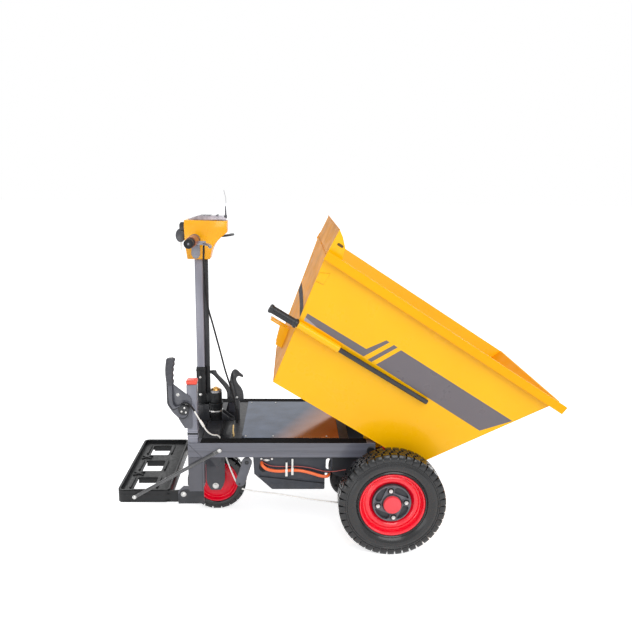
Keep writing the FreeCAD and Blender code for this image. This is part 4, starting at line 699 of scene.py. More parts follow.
stem = bar("fork_stem", (middle.x, 0, 0.3), (middle.x, 0, 0.555), 0.0138, 32)
fork_grey = finish("fork_paint", "43444B", 0.38, coat=0.25, cloud=12.0, depth=0.16, grain=520.0, bump=0.12,
                   edge=0.003, worn="8A8A92", wear=0.35, shine=0.4)
finished(merged("fork_plates", legs + [crown, seat, stem]), "steering", fork_grey, "fork")
axle = [bar("steer_axle_part", (middle.x, y0, middle.z), (middle.x, y1, middle.z), radius, corners, edge)
        for y0, y1, radius, corners, edge in (
            (-0.074, 0.074, 0.0078, 24, 0.001), (0.0692, 0.0712, 0.0135, 32, 0.0005),
            (0.071, 0.0768, 0.0105, 6, 0.0014), (-0.0692, -0.0712, 0.0135, 32, 0.0005),
            (-0.071, -0.0768, 0.0105, 6, 0.0014))]
finished(merged("steer_axle", axle), "steering", zinc, "steer_axle_bolt")


# ---------------------------------------------------------------- head tube, stem clamp and column
# A turned head tube with bearing rings, a cast clamp on the stem under a domed brass nut, and a
# rectangular column in light grey paint with a dark cable channel along its front.
low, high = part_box("head_tube")
axis_x = (low.x + high.x) / 2
head = turned("head_tube_body", (
    (0.0145, 0.322), (0.031, 0.322), (0.031, 0.33), (0.0265, 0.332), (0.0255, 0.36), (0.0255, 0.44),
    (0.0275, 0.446), (0.0275, 0.452), (0.0225, 0.456), (0.0225, 0.466), (0.0275, 0.468), (0.0285, 0.474),
    (0.0285, 0.486), (0.031, 0.49), (0.031, 0.4985), (0.0145, 0.4985), (0.0145, 0.322)),
    (axis_x, 0, 0), 48, "Z")
finished(head, "chassis", cast_black, "head_tube")
ring = turned("head_bearing_ring", ((0.0235, 0.457), (0.0305, 0.457), (0.0312, 0.4605), (0.0305, 0.4645),
                                    (0.0235, 0.4645), (0.0235, 0.457)), (axis_x, 0, 0), 48, "Z")
finished(ring, "chassis", zinc)
low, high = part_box("stem_arm")
column_low, column_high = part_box("column")
front = column_low.x + 0.034
sleeve = cut_plate("stem_sleeve", ((low.x, low.z), (front + 0.003, low.z), (front + 0.003, high.z),
                                   (low.x, high.z)), 0.048, edge=0.003)
band = block("stem_sleeve_band", (low.x - 0.001, -0.0255, high.z - 0.018),
             (front + 0.004, 0.0255, high.z - 0.01), 0.001, 2)
tail = block("channel_tail", (front + 0.003, -0.0115, high.z - 0.128),
             (column_high.x, 0.0115, high.z + 0.001), 0.0025, 2)
arm = block("stem_arm_block", (front - 0.002, -0.02, low.z + 0.001),
            (axis_x, 0.02, high.z - 0.119), 0.006, 3)
eye = turned("stem_eye", ((0.0, 0.5), (0.0262, 0.5), (0.027, 0.503), (0.027, 0.54), (0.0245, 0.545),
                          (0.0, 0.545)), (axis_x, 0, 0), 40, "Z")
finished(merged("stem_clamp", [sleeve, band, arm, eye, tail]), "steering", cast_black, "stem_arm")
bolts = [bar("sleeve_bolt", (low.x + 0.017, -0.0245, z), (low.x + 0.017, end, z), radius, 20, edge)
         for z, end, radius, edge in ((low.z + 0.04, -0.029, 0.0068, 0.0025),
                                      (high.z - 0.045, -0.0285, 0.0052, 0.002))]
finished(merged("sleeve_bolts", bolts), "steering", zinc)
brass = finish("brass_nut", "D0A25A", 0.28, metal=0.85, cloud=40.0, depth=0.15, grain=500.0, bump=0.06,
               edge=0.0008)
nut = turned("stem_nut_dome",
             ((0.0, 0.5675), (0.006, 0.567), (0.0075, 0.5635), (0.012, 0.563), (0.0155, 0.561),
              (0.018, 0.557), (0.0198, 0.551), (0.0198, 0.545), (0.0, 0.545)), (axis_x, 0, 0), 40, "Z")
finished(nut, "steering", brass, "stem_nut")
steel_ring = finish("turned_steel", "8C8A8C", 0.3, metal=0.6, cloud=40.0, depth=0.3, grain=500.0, bump=0.15,
                    edge=0.0008)
collar = turned("stem_nut_collar",
                ((0.0205, 0.544), (0.0262, 0.544), (0.0268, 0.549), (0.0262, 0.554), (0.0238, 0.5555),
                 (0.0215, 0.553), (0.0205, 0.55), (0.0205, 0.544)), (axis_x, 0, 0), 40, "Z")
finished(collar, "steering", steel_ring)
column_grey = finish("column_grey_paint", "8B8B97", 0.34, coat=0.4, cloud=7.0, depth=0.08, grain=480.0,
                     bump=0.06, edge=0.003, worn="B5B5BC", wear=0.3)
tube = block("column_tube", (column_low.x, column_low.y, column_low.z + 0.002),
             (front, column_high.y, column_high.z), 0.004, 3)
finished(tube, "steering", column_grey, "column")
channel = block("column_channel", (front - 0.0005, -0.0125, high.z), (column_high.x, 0.0125, column_high.z),
                0.0025, 2)
finished(channel, "steering", frame_black)


# ---------------------------------------------------------------- cowl, dash panel and key lock
# A moulded yellow plastic cowl round the handlebar, narrower at its nose, with a clear grey panel on top.
# The key hangs from a black lock on the cowl's rear, on an oval fob.
def split_at(piece, *places):
    """Cuts new edges round a piece where it crosses places along X."""
    alone(piece)
    bpy.ops.object.mode_set(mode="EDIT")
    for place in places:
        bpy.ops.mesh.select_all(action="SELECT")
        bpy.ops.mesh.bisect(plane_co=(place, 0, 0), plane_no=(1, 0, 0))
    bpy.ops.object.mode_set(mode="OBJECT")


cowl_yellow = finish("cowl_plastic", "FCAE06", 0.32, coat=0.25, cloud=9.0, depth=0.07, grain=260.0,
                     bump=0.06, edge=0.002, shine=0.35)
low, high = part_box("cowl")
split = low.x + 0.1
cowl = cut_plate("cowl_shell", (
    (low.x + 0.008, low.z), (low.x + 0.102, low.z), (low.x + 0.105, low.z + 0.012),
    (low.x + 0.109, low.z + 0.03), (low.x + 0.115, low.z + 0.047), (low.x + 0.124, low.z + 0.064),
    (low.x + 0.137, low.z + 0.08), (low.x + 0.152, low.z + 0.094), (low.x + 0.165, low.z + 0.104),
    (high.x, low.z + 0.112), (high.x, high.z - 0.004), (low.x + 0.001, high.z), (low.x, high.z - 0.03),
    (low.x + 0.003, low.z + 0.06)), high.y - low.y)
split_at(cowl, split)
for corner in cowl.data.vertices:
    corner.co.y *= 1.0 - 0.42 * max(0.0, (corner.co.x - split) / (high.x - split))
    corner.co.y *= 0.62 + 0.38 * min(1.0, (corner.co.z - low.z) / 0.05)
soften(cowl, 0.005, 3, 18)
finished(cowl, "steering", cowl_yellow, "cowl", smooth=40)
panel_grey = finish("dash_clear_grey", "A9A3AC", 0.14, coat=0.8, cloud=45.0, depth=0.35, grain=200.0,
                    bump=0.04, edge=0.0008)
low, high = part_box("dash_panel")
dash_top = high.z + 0.0085
panel = cut_plate("dash_bezel",
                  ((low.x, low.z - 0.001), (high.x + 0.012, low.z - 0.001), (high.x + 0.012, low.z + 0.006),
                   (high.x - 0.004, dash_top - 0.001), (low.x + 0.04, dash_top), (low.x, low.z + 0.004)),
                  high.y - low.y - 0.012, edge=0.0012)
finished(panel, "steering", panel_grey, "dash_panel")
black_plastic = finish("black_plastic", "1C1C1F", 0.36, coat=0.1, cloud=30.0, depth=0.15, grain=600.0,
                       bump=0.1, edge=0.0008)
keys = [block("dash_display", (low.x + 0.046, -0.021, dash_top - 0.0035),
              (low.x + 0.092, 0.021, dash_top + 0.0012), 0.001)]
for x, y, tall in ((low.x + 0.02, -0.022, 0.0015), (low.x + 0.02, 0.0, 0.0015),
                   (low.x + 0.02, 0.022, 0.0015), (high.x - 0.026, -0.018, 0.0105),
                   (high.x - 0.026, 0.018, 0.0105)):
    keys.append(bar("dash_button", (x, y, low.z), (x, y, high.z + tall), 0.0052, 20, 0.001))
finished(merged("dash_keys", keys), "steering", black_plastic)
low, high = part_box("key_lock")
lock_low = high.z - 0.033
lock = [block("lock_case", (low.x + 0.004, low.y, lock_low), (high.x, high.y, high.z), 0.004, 3),
        bar("lock_barrel", (low.x, 0, lock_low + 0.016), (low.x + 0.005, 0, lock_low + 0.016), 0.0105, 24)]
finished(merged("key_lock_case", lock), "steering", black_plastic, "key_lock")
fob_grey = finish("key_fob_grey", "424349", 0.34, coat=0.3, cloud=50.0, depth=0.2, grain=500.0, bump=0.08,
                  edge=0.001)
fob = turned("key_fob_shell", ((0.0, -0.006), (0.012, -0.0058), (0.017, -0.003), (0.0182, 0.0),
                               (0.017, 0.003), (0.012, 0.0058), (0.0, 0.006)), (0, 0, 0), 36)
fob.scale = (1.16, 1.0, 1.62)
placed(fob, (low.x + 0.004, -0.004, lock_low - 0.022), 0.06)
neck = bar("key_neck", (low.x + 0.006, -0.004, lock_low + 0.012), (low.x + 0.004, -0.004, lock_low - 0.006),
           0.003, 12)
finished(merged("key_fob_and_neck", [fob, neck]), "steering", fob_grey)
blade = block("key_blade", (low.x + 0.0005, -0.0055, low.z - 0.03), (low.x + 0.009, -0.0025, low.z + 0.006),
              0.0005, 1)
finished(blade, "steering", zinc)


# ---------------------------------------------------------------- handlebar, grips and hand levers
# Black steel tube through the cowl with ringed rubber grips, and a lever on a clamp inside each: a cast
# grey one on the right, a black plastic one on the left. The right grip has a copper-brown twist sleeve.
black_metal = finish("black_enamel", "1F2024", 0.32, coat=0.35, cloud=16.0, depth=0.2, grain=380.0,
                     bump=0.12, edge=0.001, worn="77777C", wear=0.45, shine=0.35)
dress(black_metal, "handlebar")
low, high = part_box("handlebar")
bar_x, bar_z = (low.x + high.x) / 2, (low.z + high.z) / 2
outline = [(0.0115, 0.0), (0.0168, 0.0), (0.0168, 0.006), (0.0145, 0.008)]
for ring in range(12):
    at = 0.013 + ring * 0.0085
    outline += [(0.0145, at), (0.0158, at + 0.0012), (0.0158, at + 0.0042), (0.0145, at + 0.0054)]
outline += [(0.0145, 0.119), (0.0165, 0.121), (0.0168, 0.128), (0.0155, 0.132), (0.006, 0.132),
            (0.006, 0.122), (0.0, 0.122)]
far_grip = turned("far_grip", outline, (bar_x, 0.168, bar_z), 36)
near_grip = turned("near_grip",
                   ((0.0115, -0.236), (0.0168, -0.236), (0.0172, -0.24), (0.0158, -0.246), (0.0158, -0.272),
                    (0.0172, -0.278), (0.0185, -0.285), (0.0185, -0.2965), (0.017, -0.2995),
                    (0.0085, -0.2995), (0.0085, -0.292), (0.0, -0.292)), (bar_x, 0, bar_z), 36)
finished(merged("hand_grip_rubber", [far_grip, near_grip]), "steering", black_rubber, "hand_grips")
lever_grey = finish("lever_cast_grey", "84848C", 0.4, metal=0.25, coat=0.15, cloud=30.0, depth=0.14,
                    grain=420.0, bump=0.15, edge=0.001)
for side, word, reach, paint in ((1, "left", 1.54, black_plastic), (-1, "right", 0.84, lever_grey)):
    root = bar_x + 0.034
    ring = turned("lever_clamp", facing(side, (
        (0.0115, 0.0), (0.0162, 0.0), (0.017, 0.002), (0.017, 0.016), (0.0162, 0.018), (0.0115, 0.018),
        (0.0115, 0.0))), (bar_x, side * 0.15, bar_z), 32)
    lug = block("lever_lug", (bar_x + 0.01, side * 0.159 - 0.009, bar_z - 0.0168),
                (bar_x + 0.048, side * 0.159 + 0.009, bar_z - 0.002), 0.003, 2)
    blade_outline = [(root + along * reach, y) for along, y in (
        (0.0, 0.163), (0.016, 0.158), (0.038, 0.19), (0.052, 0.225), (0.06, 0.262), (0.0595, 0.279),
        (0.053, 0.284), (0.0465, 0.279), (0.046, 0.262), (0.037, 0.226), (0.023, 0.192))]
    blade = cut_plate("lever_blade", blade_outline, 0.0095, edge=0.0026)
    placed(blade, (0, 0, bar_z - 0.0128), -side * math.pi / 2, "X")
    lever = finished(merged("brake_lever_blade_" + word, [ring, lug, blade]), "steering", paint)
    if side > 0:
        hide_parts("bar_levers")
housing = turned("twist_housing",
                 ((0.0115, 0.0), (0.0205, 0.0), (0.0228, -0.003), (0.0228, -0.022), (0.0205, -0.025),
                  (0.0115, -0.025), (0.0115, 0.0)), (bar_x, -0.118, bar_z), 36)
tab = cut_plate("twist_tab", ((-0.018, -0.01), (-0.021, -0.064), (-0.015, -0.077), (-0.003, -0.083),
                              (0.009, -0.078), (0.015, -0.064), (0.014, -0.01)), 0.005, edge=0.001)
placed(tab, (bar_x, -0.082, bar_z))
finished(tab, "steering", lever_grey)
finished(housing, "steering", fob_grey)
twist_brown = finish("twist_sleeve_brown", "8C4C30", 0.4, coat=0.2, cloud=30.0, depth=0.25, grain=400.0,
                     bump=0.15, edge=0.001)
sleeve = turned("twist_sleeve", ((0.0172, -0.144), (0.0212, -0.144), (0.0215, -0.15), (0.0205, -0.154),
                                 (0.0205, -0.228), (0.0212, -0.233), (0.0205, -0.237), (0.0118, -0.237),
                                 (0.0118, -0.17), (0.0172, -0.17), (0.0172, -0.144)), (bar_x, 0, bar_z), 40)
finished(sleeve, "steering", twist_brown)
end = turned("grip_end_disc", ((0.0, -0.2975), (0.0035, -0.2975), (0.0035, -0.2955), (0.0078, -0.2955),
                               (0.0078, -0.291), (0.0, -0.291)), (bar_x, 0, bar_z), 24)
finished(end, "steering", lever_grey)


# ---------------------------------------------------------------- whip wire
# A thin springy wire like an aerial, in a grey foot at the panel's front end.
low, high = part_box("whip_wire")
whip_x = -0.4555
foot = turned("whip_foot", ((0.0, -0.003), (0.0062, -0.003), (0.0066, 0.007), (0.0038, 0.0115),
                            (0.0024, 0.042), (0.0016, 0.046), (0.0, 0.046)), (whip_x, 0, low.z), 20, "Z")
finished(foot, "steering", fob_grey)
wire = run_of("whip_wire_rod",
              ((whip_x, 0, low.z + 0.01), (-0.455, 0, low.z + 0.03), (-0.4535, 0, low.z + 0.06),
               (-0.455, 0, low.z + 0.085), (-0.462, 0, high.z - 0.001)), 0.0012, 2)
wire_grey = finish("whip_wire_grey", "A8A8AC", 0.35, metal=0.4, cloud=60.0, depth=0.1, grain=700.0,
                   bump=0.05, edge=0.0003)
finished(wire, "steering", wire_grey, "whip_wire")


# ---------------------------------------------------------------- standing step and its struts
# A black pressed steel tray with three foot openings, folded down at their edges, hung on two arms.
# A dark tube with pressed ends and domed bolts holds its right rear corner up to the rail.
def rounded(low, high, radius, steps=6):
    """The outline of a rectangle with round corners."""
    corners = ((high[0] - radius, high[1] - radius, 0), (low[0] + radius, high[1] - radius, 1),
               (low[0] + radius, low[1] + radius, 2), (high[0] - radius, low[1] + radius, 3))
    return [(x + radius * math.cos((quarter + k / steps) * math.pi / 2),
             z + radius * math.sin((quarter + k / steps) * math.pi / 2))
            for x, z, quarter in corners for k in range(steps + 1)]


def flat_plate(name, outline, low, high, holes=(), edge=0.0):
    """A level plate between two heights, cut to an outline of (x, y) points."""
    piece = cut_plate(name, outline, high - low, holes, edge)
    placed(piece, (0, 0, 0), -math.pi / 2, "X")
    return placed(piece, (0, 0, (low + high) / 2))


def domed(name, x, y, z, radius, tall):
    """A domed bolt head with its washer, on a face that looks away from the middle."""
    head = turned(name, ((0.0, -tall), (radius * 0.45, -tall * 0.93), (radius * 0.8, -tall * 0.6),
                         (radius, -tall * 0.2), (radius, 0.0), (radius * 1.25, 0.0),
                         (radius * 1.25, 0.0012), (0.0, 0.0012)), (0, 0, 0), 28)
    return placed(head, (x, y, z), math.pi if y > 0 else 0.0, "Z")


pan_black = finish("step_pan_black", "141517", 0.46, coat=0.08, cloud=16.0, depth=0.22, grain=300.0,
                   bump=0.3, edge=0.002, worn="4A4A4E", wear=0.4, shine=0.3)
low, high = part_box("step_pan")
rear, front, half, top = low.x, -0.674, high.y, 0.211


def inset(by, radius):
    """The tray's outline, drawn in by a distance."""
    return rounded((rear + by, by - half), (front - by, half - by), radius)


hole_x, hole_long, hole_wide, pitch = -0.792, 0.084, 0.112, 0.176
hole_rear, hole_front = hole_x - hole_long / 2, hole_x + hole_long / 2
openings = [rounded((hole_rear, y - hole_wide / 2), (hole_front, y + hole_wide / 2), 0.009)
            for y in (-pitch, 0.0, pitch)]
pressed = [
    flat_plate("step_wall", inset(0.0, 0.022), low.z + 0.001, top, (inset(0.0035, 0.019),), 0.001),
    flat_plate("step_rim", inset(0.0, 0.022), top - 0.004, top, (inset(0.009, 0.016),), 0.0014),
    flat_plate("step_tray_wall", inset(0.006, 0.018), top - 0.018, top - 0.001, (inset(0.0095, 0.016),)),
    flat_plate("step_sheet", inset(0.007, 0.016), top - 0.018, top - 0.015, openings, 0.0006)]
for y in (-pitch, 0.0, pitch):
    right, left = y - hole_wide / 2, y + hole_wide / 2
    for x0, x1, y0, y1, down in ((hole_rear - 0.0015, hole_front + 0.0015, left, left + 0.003, 0.028),
                                 (hole_rear - 0.003, hole_rear, right, left, 0.007),
                                 (hole_front, hole_front + 0.003, right, left, 0.007),
                                 (hole_rear, hole_front, right - 0.003, right, 0.007)):
        pressed.append(block("step_fold", (x0, y0, top - 0.015 - down), (x1, y1, top - 0.0155), 0.001))
    for x in (hole_x - 0.055, hole_x + 0.055):
        pressed.append(block("step_emboss", (x - 0.0045, y - 0.05, top - 0.016),
                             (x + 0.0045, y + 0.05, top - 0.009), 0.0035, 3))
for y in (-pitch / 2, pitch / 2):
    for slope in (0.6, -0.6):
        rib = block("step_cross_rib", (-0.028, -0.004, -0.0008), (0.028, 0.004, 0.0062), 0.003, 3)
        pressed.append(placed(rib, (hole_x - 0.048, y, top - 0.0155), slope, "Z"))
for side in (1, -1):
    arm = cut_plate("step_arm", (
        (-0.690, low.z + 0.001), (-0.690, 0.203), (-0.674, 0.2065), (-0.640, 0.2085), (-0.625, 0.2115),
        (-0.609, 0.2115), (-0.602, 0.203), (-0.601, 0.166), (-0.608, low.z + 0.001)), 0.006, edge=0.001)
    pressed.append(placed(arm, (0, side * 0.27, 0)))
    for z in (low.z + 0.0035, low.z + 0.033):
        pressed.append(block("step_side_lip", (rear + 0.02, side * half - 0.0016, z),
                             (front - 0.002, side * half + 0.0016, z + 0.0045), 0.0014))
finished(merged("step_pan_pressing", pressed), "chassis", pan_black, "step_pan")

strut_dark = finish("strut_enamel", "3A3A3C", 0.2, metal=0.3, coat=0.9, cloud=14.0, depth=0.3, grain=300.0,
                    bump=0.1, edge=0.002, worn="C4C3C0", wear=0.8)
start, end = Vector((-0.817, 0, 0.185)), Vector((-0.467, 0, 0.388))
along = (end - start).normalized()
slope = math.atan2(along.z, along.x)
length = (end - start).length
half_wide, strut_side, flat_end = 0.0088, -0.2855, 0.03
struts = [bar("strut_spacer", (start.x, -0.2755, start.z), (start.x, -0.2845, start.z), 0.0068, 20)]
tab_outline = [
    (-half_wide * math.cos(angle), half_wide * math.sin(angle))
    for angle in (-1.57, -1.05, -0.52, 0.0, 0.52, 1.05, 1.57)] + [(flat_end, 0.006), (flat_end, -0.006)]
for point, turn in ((start, -slope), (end, math.pi - slope)):
    tab = cut_plate("strut_tab", tab_outline, 0.0045, edge=0.0014)
    struts.append(placed(tab, (point.x, strut_side, point.z), turn))
flat_to, round_from = 0.022, 0.034
tube = bar("strut_tube", (0.016, 0, 0), (length - 0.016, 0, 0), 0.0072, 24)
split_at(tube, flat_to, round_from, length - round_from, length - flat_to)
for corner in tube.data.vertices:
    from_end = min(corner.co.x, length - corner.co.x)
    pressed_flat = 1.0 - min(1.0, max(0.0, (from_end - flat_to) / (round_from - flat_to)))
    corner.co.y *= 1.0 - 0.7 * pressed_flat
    corner.co.z *= 1.0 + 0.12 * pressed_flat
struts.append(placed(tube, (start.x, strut_side, start.z), -slope))
finished(merged("step_strut_bars", struts), "chassis", strut_dark, "step_struts")
strut_bolts = [domed("strut_bolt", point.x, -0.2878, point.z, 0.0066, 0.0042) for point in (start, end)]
finished(merged("strut_bolt_heads", strut_bolts), "chassis", zinc)
arm_bolts = []
for side in (1, -1):
    arm_bolts.append(domed("arm_bolt", -0.617, side * 0.2835, 0.196, 0.0088, 0.0062))
    for y0, y1, radius, corners in ((0.262, 0.284, 0.0075, 20), (0.2592, 0.2665, 0.012, 6)):
        arm_bolts.append(bar("arm_bolt_shank", (-0.617, side * y0, 0.196), (-0.617, side * y1, 0.196),
                             radius, corners))
finished(merged("step_hinge_bolts", arm_bolts), "chassis", zinc, "step_bolts")


# ---------------------------------------------------------------- foot plates and joint lines of the legs
# Thin black plates on the legs' feet, where the step's arms are bolted, and the dark lines of the legs'
# mitred corners. A dark line along the step in each leg's face and a dark patch for each slot are painted
# shade.
joint_and_shade_dark = finish("joint_line_and_painted_shade", "26262A", 0.6, cloud=30.0, depth=0.2, grain=500.0, bump=0.1,
                   edge=0.0003)
lines, foot_plates = [], []
for side in (1, -1):
    # painted shade: the slot is a flat dark patch, and the leg line darkens the step where the leg's lower
    # part is recessed
    slot = cut_plate("foot_slot_shade", rounded((-0.6325, 0.1885), (-0.6015, 0.2145), 0.0129), 0.001)
    y0, y1 = sorted((side * 0.2816, side * 0.2824))
    mitre = bar("mitre_line", (-0.5935, side * 0.2818, 0.4145), (-0.540, side * 0.2818, 0.3585),
                0.0008, 8, 0)
    leg_step_shade_line = block("leg_step_shade_line", (-0.5398, y0, 0.215), (-0.5386, y1, 0.357), 0)
    lines += [placed(slot, (0, side * 0.2824, 0)), mitre, leg_step_shade_line]
    foot = cut_plate("foot_plate",
                     ((-0.535, 0.1545), (-0.535, 0.2085), (-0.59, 0.2085), (-0.597, 0.2175),
                      (-0.6165, 0.2175), (-0.6385, 0.1955), (-0.6385, 0.1545)), 0.0011, (), 0.0004)
    foot_plates.append(placed(foot, (0, side * 0.2819, 0)))
finished(merged("frame_joint_and_shade_lines", lines), "chassis", joint_and_shade_dark)
finished(merged("foot_plates", foot_plates), "chassis", frame_black)


# ---------------------------------------------------------------- post and hand brake
# A square post on the right rail with a red plastic cap and a folded bracket plate bolted to it.
# The lever is a dark grey plate with a raised black edge and a rubber grip, on a drum with three bolts;
# round the plate's lower end the black edge is painted shadow.
post_grey = finish("post_paint", "787984", 0.32, coat=0.35, cloud=14.0, depth=0.16, grain=520.0, bump=0.1,
                   edge=0.003, worn="9A9AA2", wear=0.3, stretch=(1.0, 1.0, 0.15))
low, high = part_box("post")
collars = [block("post_collar", (low.x, low.y, z), (high.x, high.y, z + 0.0045), 0.0012)
           for z in (0.4385, 0.4475, 0.4605, 0.4695)]
finished(merged("post_collars", collars), "chassis", column_grey)
# painted shade: a black band fills the gap between the middle collars, standing in for the shade there
gap = block("post_collar_gap_shade", (low.x + 0.0003, low.y + 0.0003, 0.453),
            (high.x - 0.0003, high.y - 0.0003, 0.4595), 0)
finished(gap, "chassis", black_rubber)
post = [block("post_body", (low.x + 0.0008, low.y + 0.0008, low.z),
              (high.x - 0.0008, high.y - 0.0008, high.z), 0.0045, 3)]
post += [bead("post_weld", (low.x + 0.002, y, low.z + 0.002), (high.x - 0.002, y, low.z + 0.002), 0.0022)
         for y in (low.y + 0.001, high.y - 0.001)]
finished(merged("post_tube", post), "chassis", post_grey, "post")
cap_orange = finish("post_cap_plastic", "F0492E", 0.36, coat=0.3, cloud=30.0, depth=0.1, grain=600.0,
                    bump=0.08, edge=0.001)
low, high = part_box("post_cap")
finished(block("post_cap_plug", low, high, 0.005, 3), "chassis", cap_orange, "post_cap")
bracket_grey = finish("bracket_grey_paint", "4E4F57", 0.38, coat=0.25, cloud=16.0, depth=0.16, grain=420.0,
                      bump=0.12, edge=0.0015, worn="8A8A90", wear=0.4)
low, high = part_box("brake_bracket")
bracket = cut_plate("bracket_sheet", ((-0.651, 0.6695), (-0.656, 0.64), (-0.656, 0.6), (-0.648, 0.568),
                                      (-0.622, 0.512), (-0.604, 0.483), (-0.577, 0.4815), (-0.5745, 0.486),
                                      (-0.5745, 0.604), (-0.58, 0.611)), 0.0055, edge=0.0011)
flange = cut_plate("bracket_fold", ((-0.651, 0.67), (-0.649, 0.6705), (-0.578, 0.6125), (-0.5795, 0.6105)),
                   0.0058, edge=0.0004)
plate = placed(merged("brake_bracket_plate", [bracket, flange]), (0, (low.y + high.y) / 2, 0))
finished(plate, "chassis", bracket_grey, "brake_bracket")
pivot_x, pivot_z, face, lever_side = -0.604, 0.565, -0.2845, -0.2955
drum = turned("brake_drum", ((0.0, -0.0175), (0.0168, -0.0175), (0.018, -0.0195), (0.0205, -0.0195),
                             (0.0215, -0.0175), (0.0215, -0.0165), (0.0215, -0.015), (0.0215, -0.007),
                             (0.0248, -0.0055), (0.0248, 0.0), (0.0, 0.0)), (pivot_x, face, pivot_z), 48)
lever = cut_plate("brake_lever_sheet", (
    (-0.6695, 0.685), (-0.6695, 0.594), (-0.666, 0.583), (-0.65, 0.5575), (-0.6475, 0.5535),
    (-0.623, 0.5285), (-0.612, 0.5245), (-0.601, 0.5255), (-0.59, 0.5315), (-0.583, 0.541), (-0.58, 0.555),
    (-0.581, 0.568), (-0.588, 0.579), (-0.6, 0.586), (-0.612, 0.5855), (-0.636, 0.577), (-0.6445, 0.5875),
    (-0.6475, 0.602), (-0.6475, 0.685)), 0.007, edge=0.0018)
placed(lever, (0, lever_side, 0))
finished(lever, "chassis", bracket_grey, "brake_lever")
# partly painted shadow: the black edge's last points run round the plate's lower end, standing in for the
# shadow under it
ridge_and_shadow_line = run_of("brake_lever_ridge_and_shadow", (
    (-0.6655, 0.68, 0), (-0.6655, 0.6, 0), (-0.663, 0.588, 0), (-0.648, 0.566, 0), (-0.642, 0.5655, 0),
    (-0.61, 0.5815, 0), (-0.595, 0.578, 0), (-0.586, 0.566, 0), (-0.585, 0.552, 0), (-0.591, 0.537, 0),
    (-0.601, 0.53, 0), (-0.612, 0.5285, 0), (-0.622, 0.5325, 0)), 0.0022, 2)
ridge_and_shadow_line = placed(as_mesh(ridge_and_shadow_line), (0, -0.299, 0), math.pi / 2, "X")
finished(drum, "chassis", black_metal)
finished(ridge_and_shadow_line, "chassis", black_metal)
heads = [domed("brake_bolt", x, face - 0.0175, z, 0.0046, 0.003)
         for x, z in ((-0.6005, 0.5745), (-0.6125, 0.5595), (-0.5955, 0.5555))]
heads.append(domed("bracket_bolt", -0.6275, face, 0.6235, 0.0052, 0.0032))
finished(merged("brake_bolts", heads), "chassis", zinc)
grip_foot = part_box("brake_grip")[0].z
outline = [(0.0, -0.004), (0.0118, -0.004), (0.0128, 0.0)]
for k in range(4):
    at, wide = 0.008 + k * 0.0215, 0.0155 + 0.001 * k
    outline += [(wide, at), (wide + 0.0004, at + 0.004), (wide - 0.001, at + 0.009),
                (wide - 0.0026, at + 0.0125), (wide - 0.001, at + 0.017)]
outline += [(0.0178, 0.094), (0.016, 0.0985), (0.009, 0.1005), (0.0, 0.101)]
grip = turned("brake_grip_shape", outline, (0, 0, 0), 36, "Z")
for corner in grip.data.vertices:
    across = math.hypot(corner.co.x, corner.co.y)
    if corner.co.x < 0 and across > 0.01 and 0.0 < corner.co.z < 0.094:
        corner.co.x *= (0.0155 + 0.03 * corner.co.z) / across
    corner.co.x += 0.006 * (corner.co.z / 0.1) ** 2 - 0.0035 * math.sin(corner.co.z / 0.1 * math.pi)
    corner.co.z *= 1.05
    corner.co.y *= 0.8
placed(grip, (-0.6535, lever_side, grip_foot))
button = bar("brake_grip_button", (-0.647, lever_side, grip_foot + 0.103),
             (-0.6465, lever_side, grip_foot + 0.11), 0.005, 20, 0.0012)
finished(button, "chassis", zinc)
grip_dark = finish("brake_grip_rubber", "3C3C42", 0.5, cloud=26.0, depth=0.2, grain=700.0, bump=0.25,
                   edge=0.0006)
finished(grip, "chassis", grip_dark, "brake_grip")


# ---------------------------------------------------------------- brake line and its rocker
# A thin white-sleeved cable from the hand lever round the frame to a plate rocker under the right rail,
# and from the rocker back to the driven axle. A black rubber boot covers its upper end.
low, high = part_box("brake_rocker")
pin_x, pin_z = -0.359, 0.325
outline = (ring_points(pin_x, pin_z, 0.0212, range(-12, 193, 17))
           + ring_points(-0.386, 0.2395, 0.0195, range(165, 356, 19)))
swing = cut_plate("rocker_sheet", outline, 0.008, (ring_points(pin_x, pin_z, 0.0082),), 0.0012)
placed(swing, (0, low.y + 0.004, 0))
web = block("rocker_web", (pin_x - 0.009, low.y + 0.008, pin_z - 0.009), (pin_x + 0.009, high.y, high.z),
            0.0015)
finished(merged("brake_rocker_arm", [swing, web]), "chassis", bracket_grey, "brake_rocker")
ends = [bar("rocker_pin_end", (pin_x, low.y + 0.0005, pin_z), (pin_x, high.y - 0.001, pin_z),
            0.0066, 20, 0.0008),
        bar("rocker_clevis", (-0.39, low.y - 0.0015, 0.231), (-0.39, low.y + 0.006, 0.231),
            0.0045, 16, 0.0008)]
finished(merged("rocker_pins", ends), "chassis", black_metal)
hand_line = run_of("brake_line_hand", (
    (-.604, -.3, .593), (-.588, -.3, .594), (-.571, -.299, .577), (-.552, -.296, .54), (-.532, -.289, .5),
    (-.516, -.272, .462), (-.496, -.248, .438), (-.476, -.224, .431), (-.462, -.217, .392),
    (-.449, -.221, .336), (-.428, -.236, .284), (-.412, -.246, .25), (-.402, -.25, .23)), .003, 3)
wheel_line = run_of("brake_line_wheel", (
    (-.38, -.266, .212), (-.345, -.268, .204), (-.29, -.272, .199), (-.23, -.28, .196), (-.17, -.288, .189),
    (-.11, -.294, .181), (-.05, -.298, .174), (.003, -.3, .168), (.058, -.3, .162), (.113, -.3, .158),
    (.163, -.299, .16), (.203, -.299, .168), (.223, -.298, .174), (.223, -.298, .186)), .003, 3)
brake_line = merged("brake_line", [as_mesh(line) for line in (hand_line, wheel_line)])
finished(brake_line, "chassis", wire_white, "brake_cables")
boot = run_of("brake_line_boot", ((-.612, -.3, .591), (-.604, -.3, .594), (-.588, -.3, .5945),
                                  (-.571, -.299, .5775), (-.562, -.2975, .5605)), .0039, 3)
finished(boot, "chassis", black_rubber)


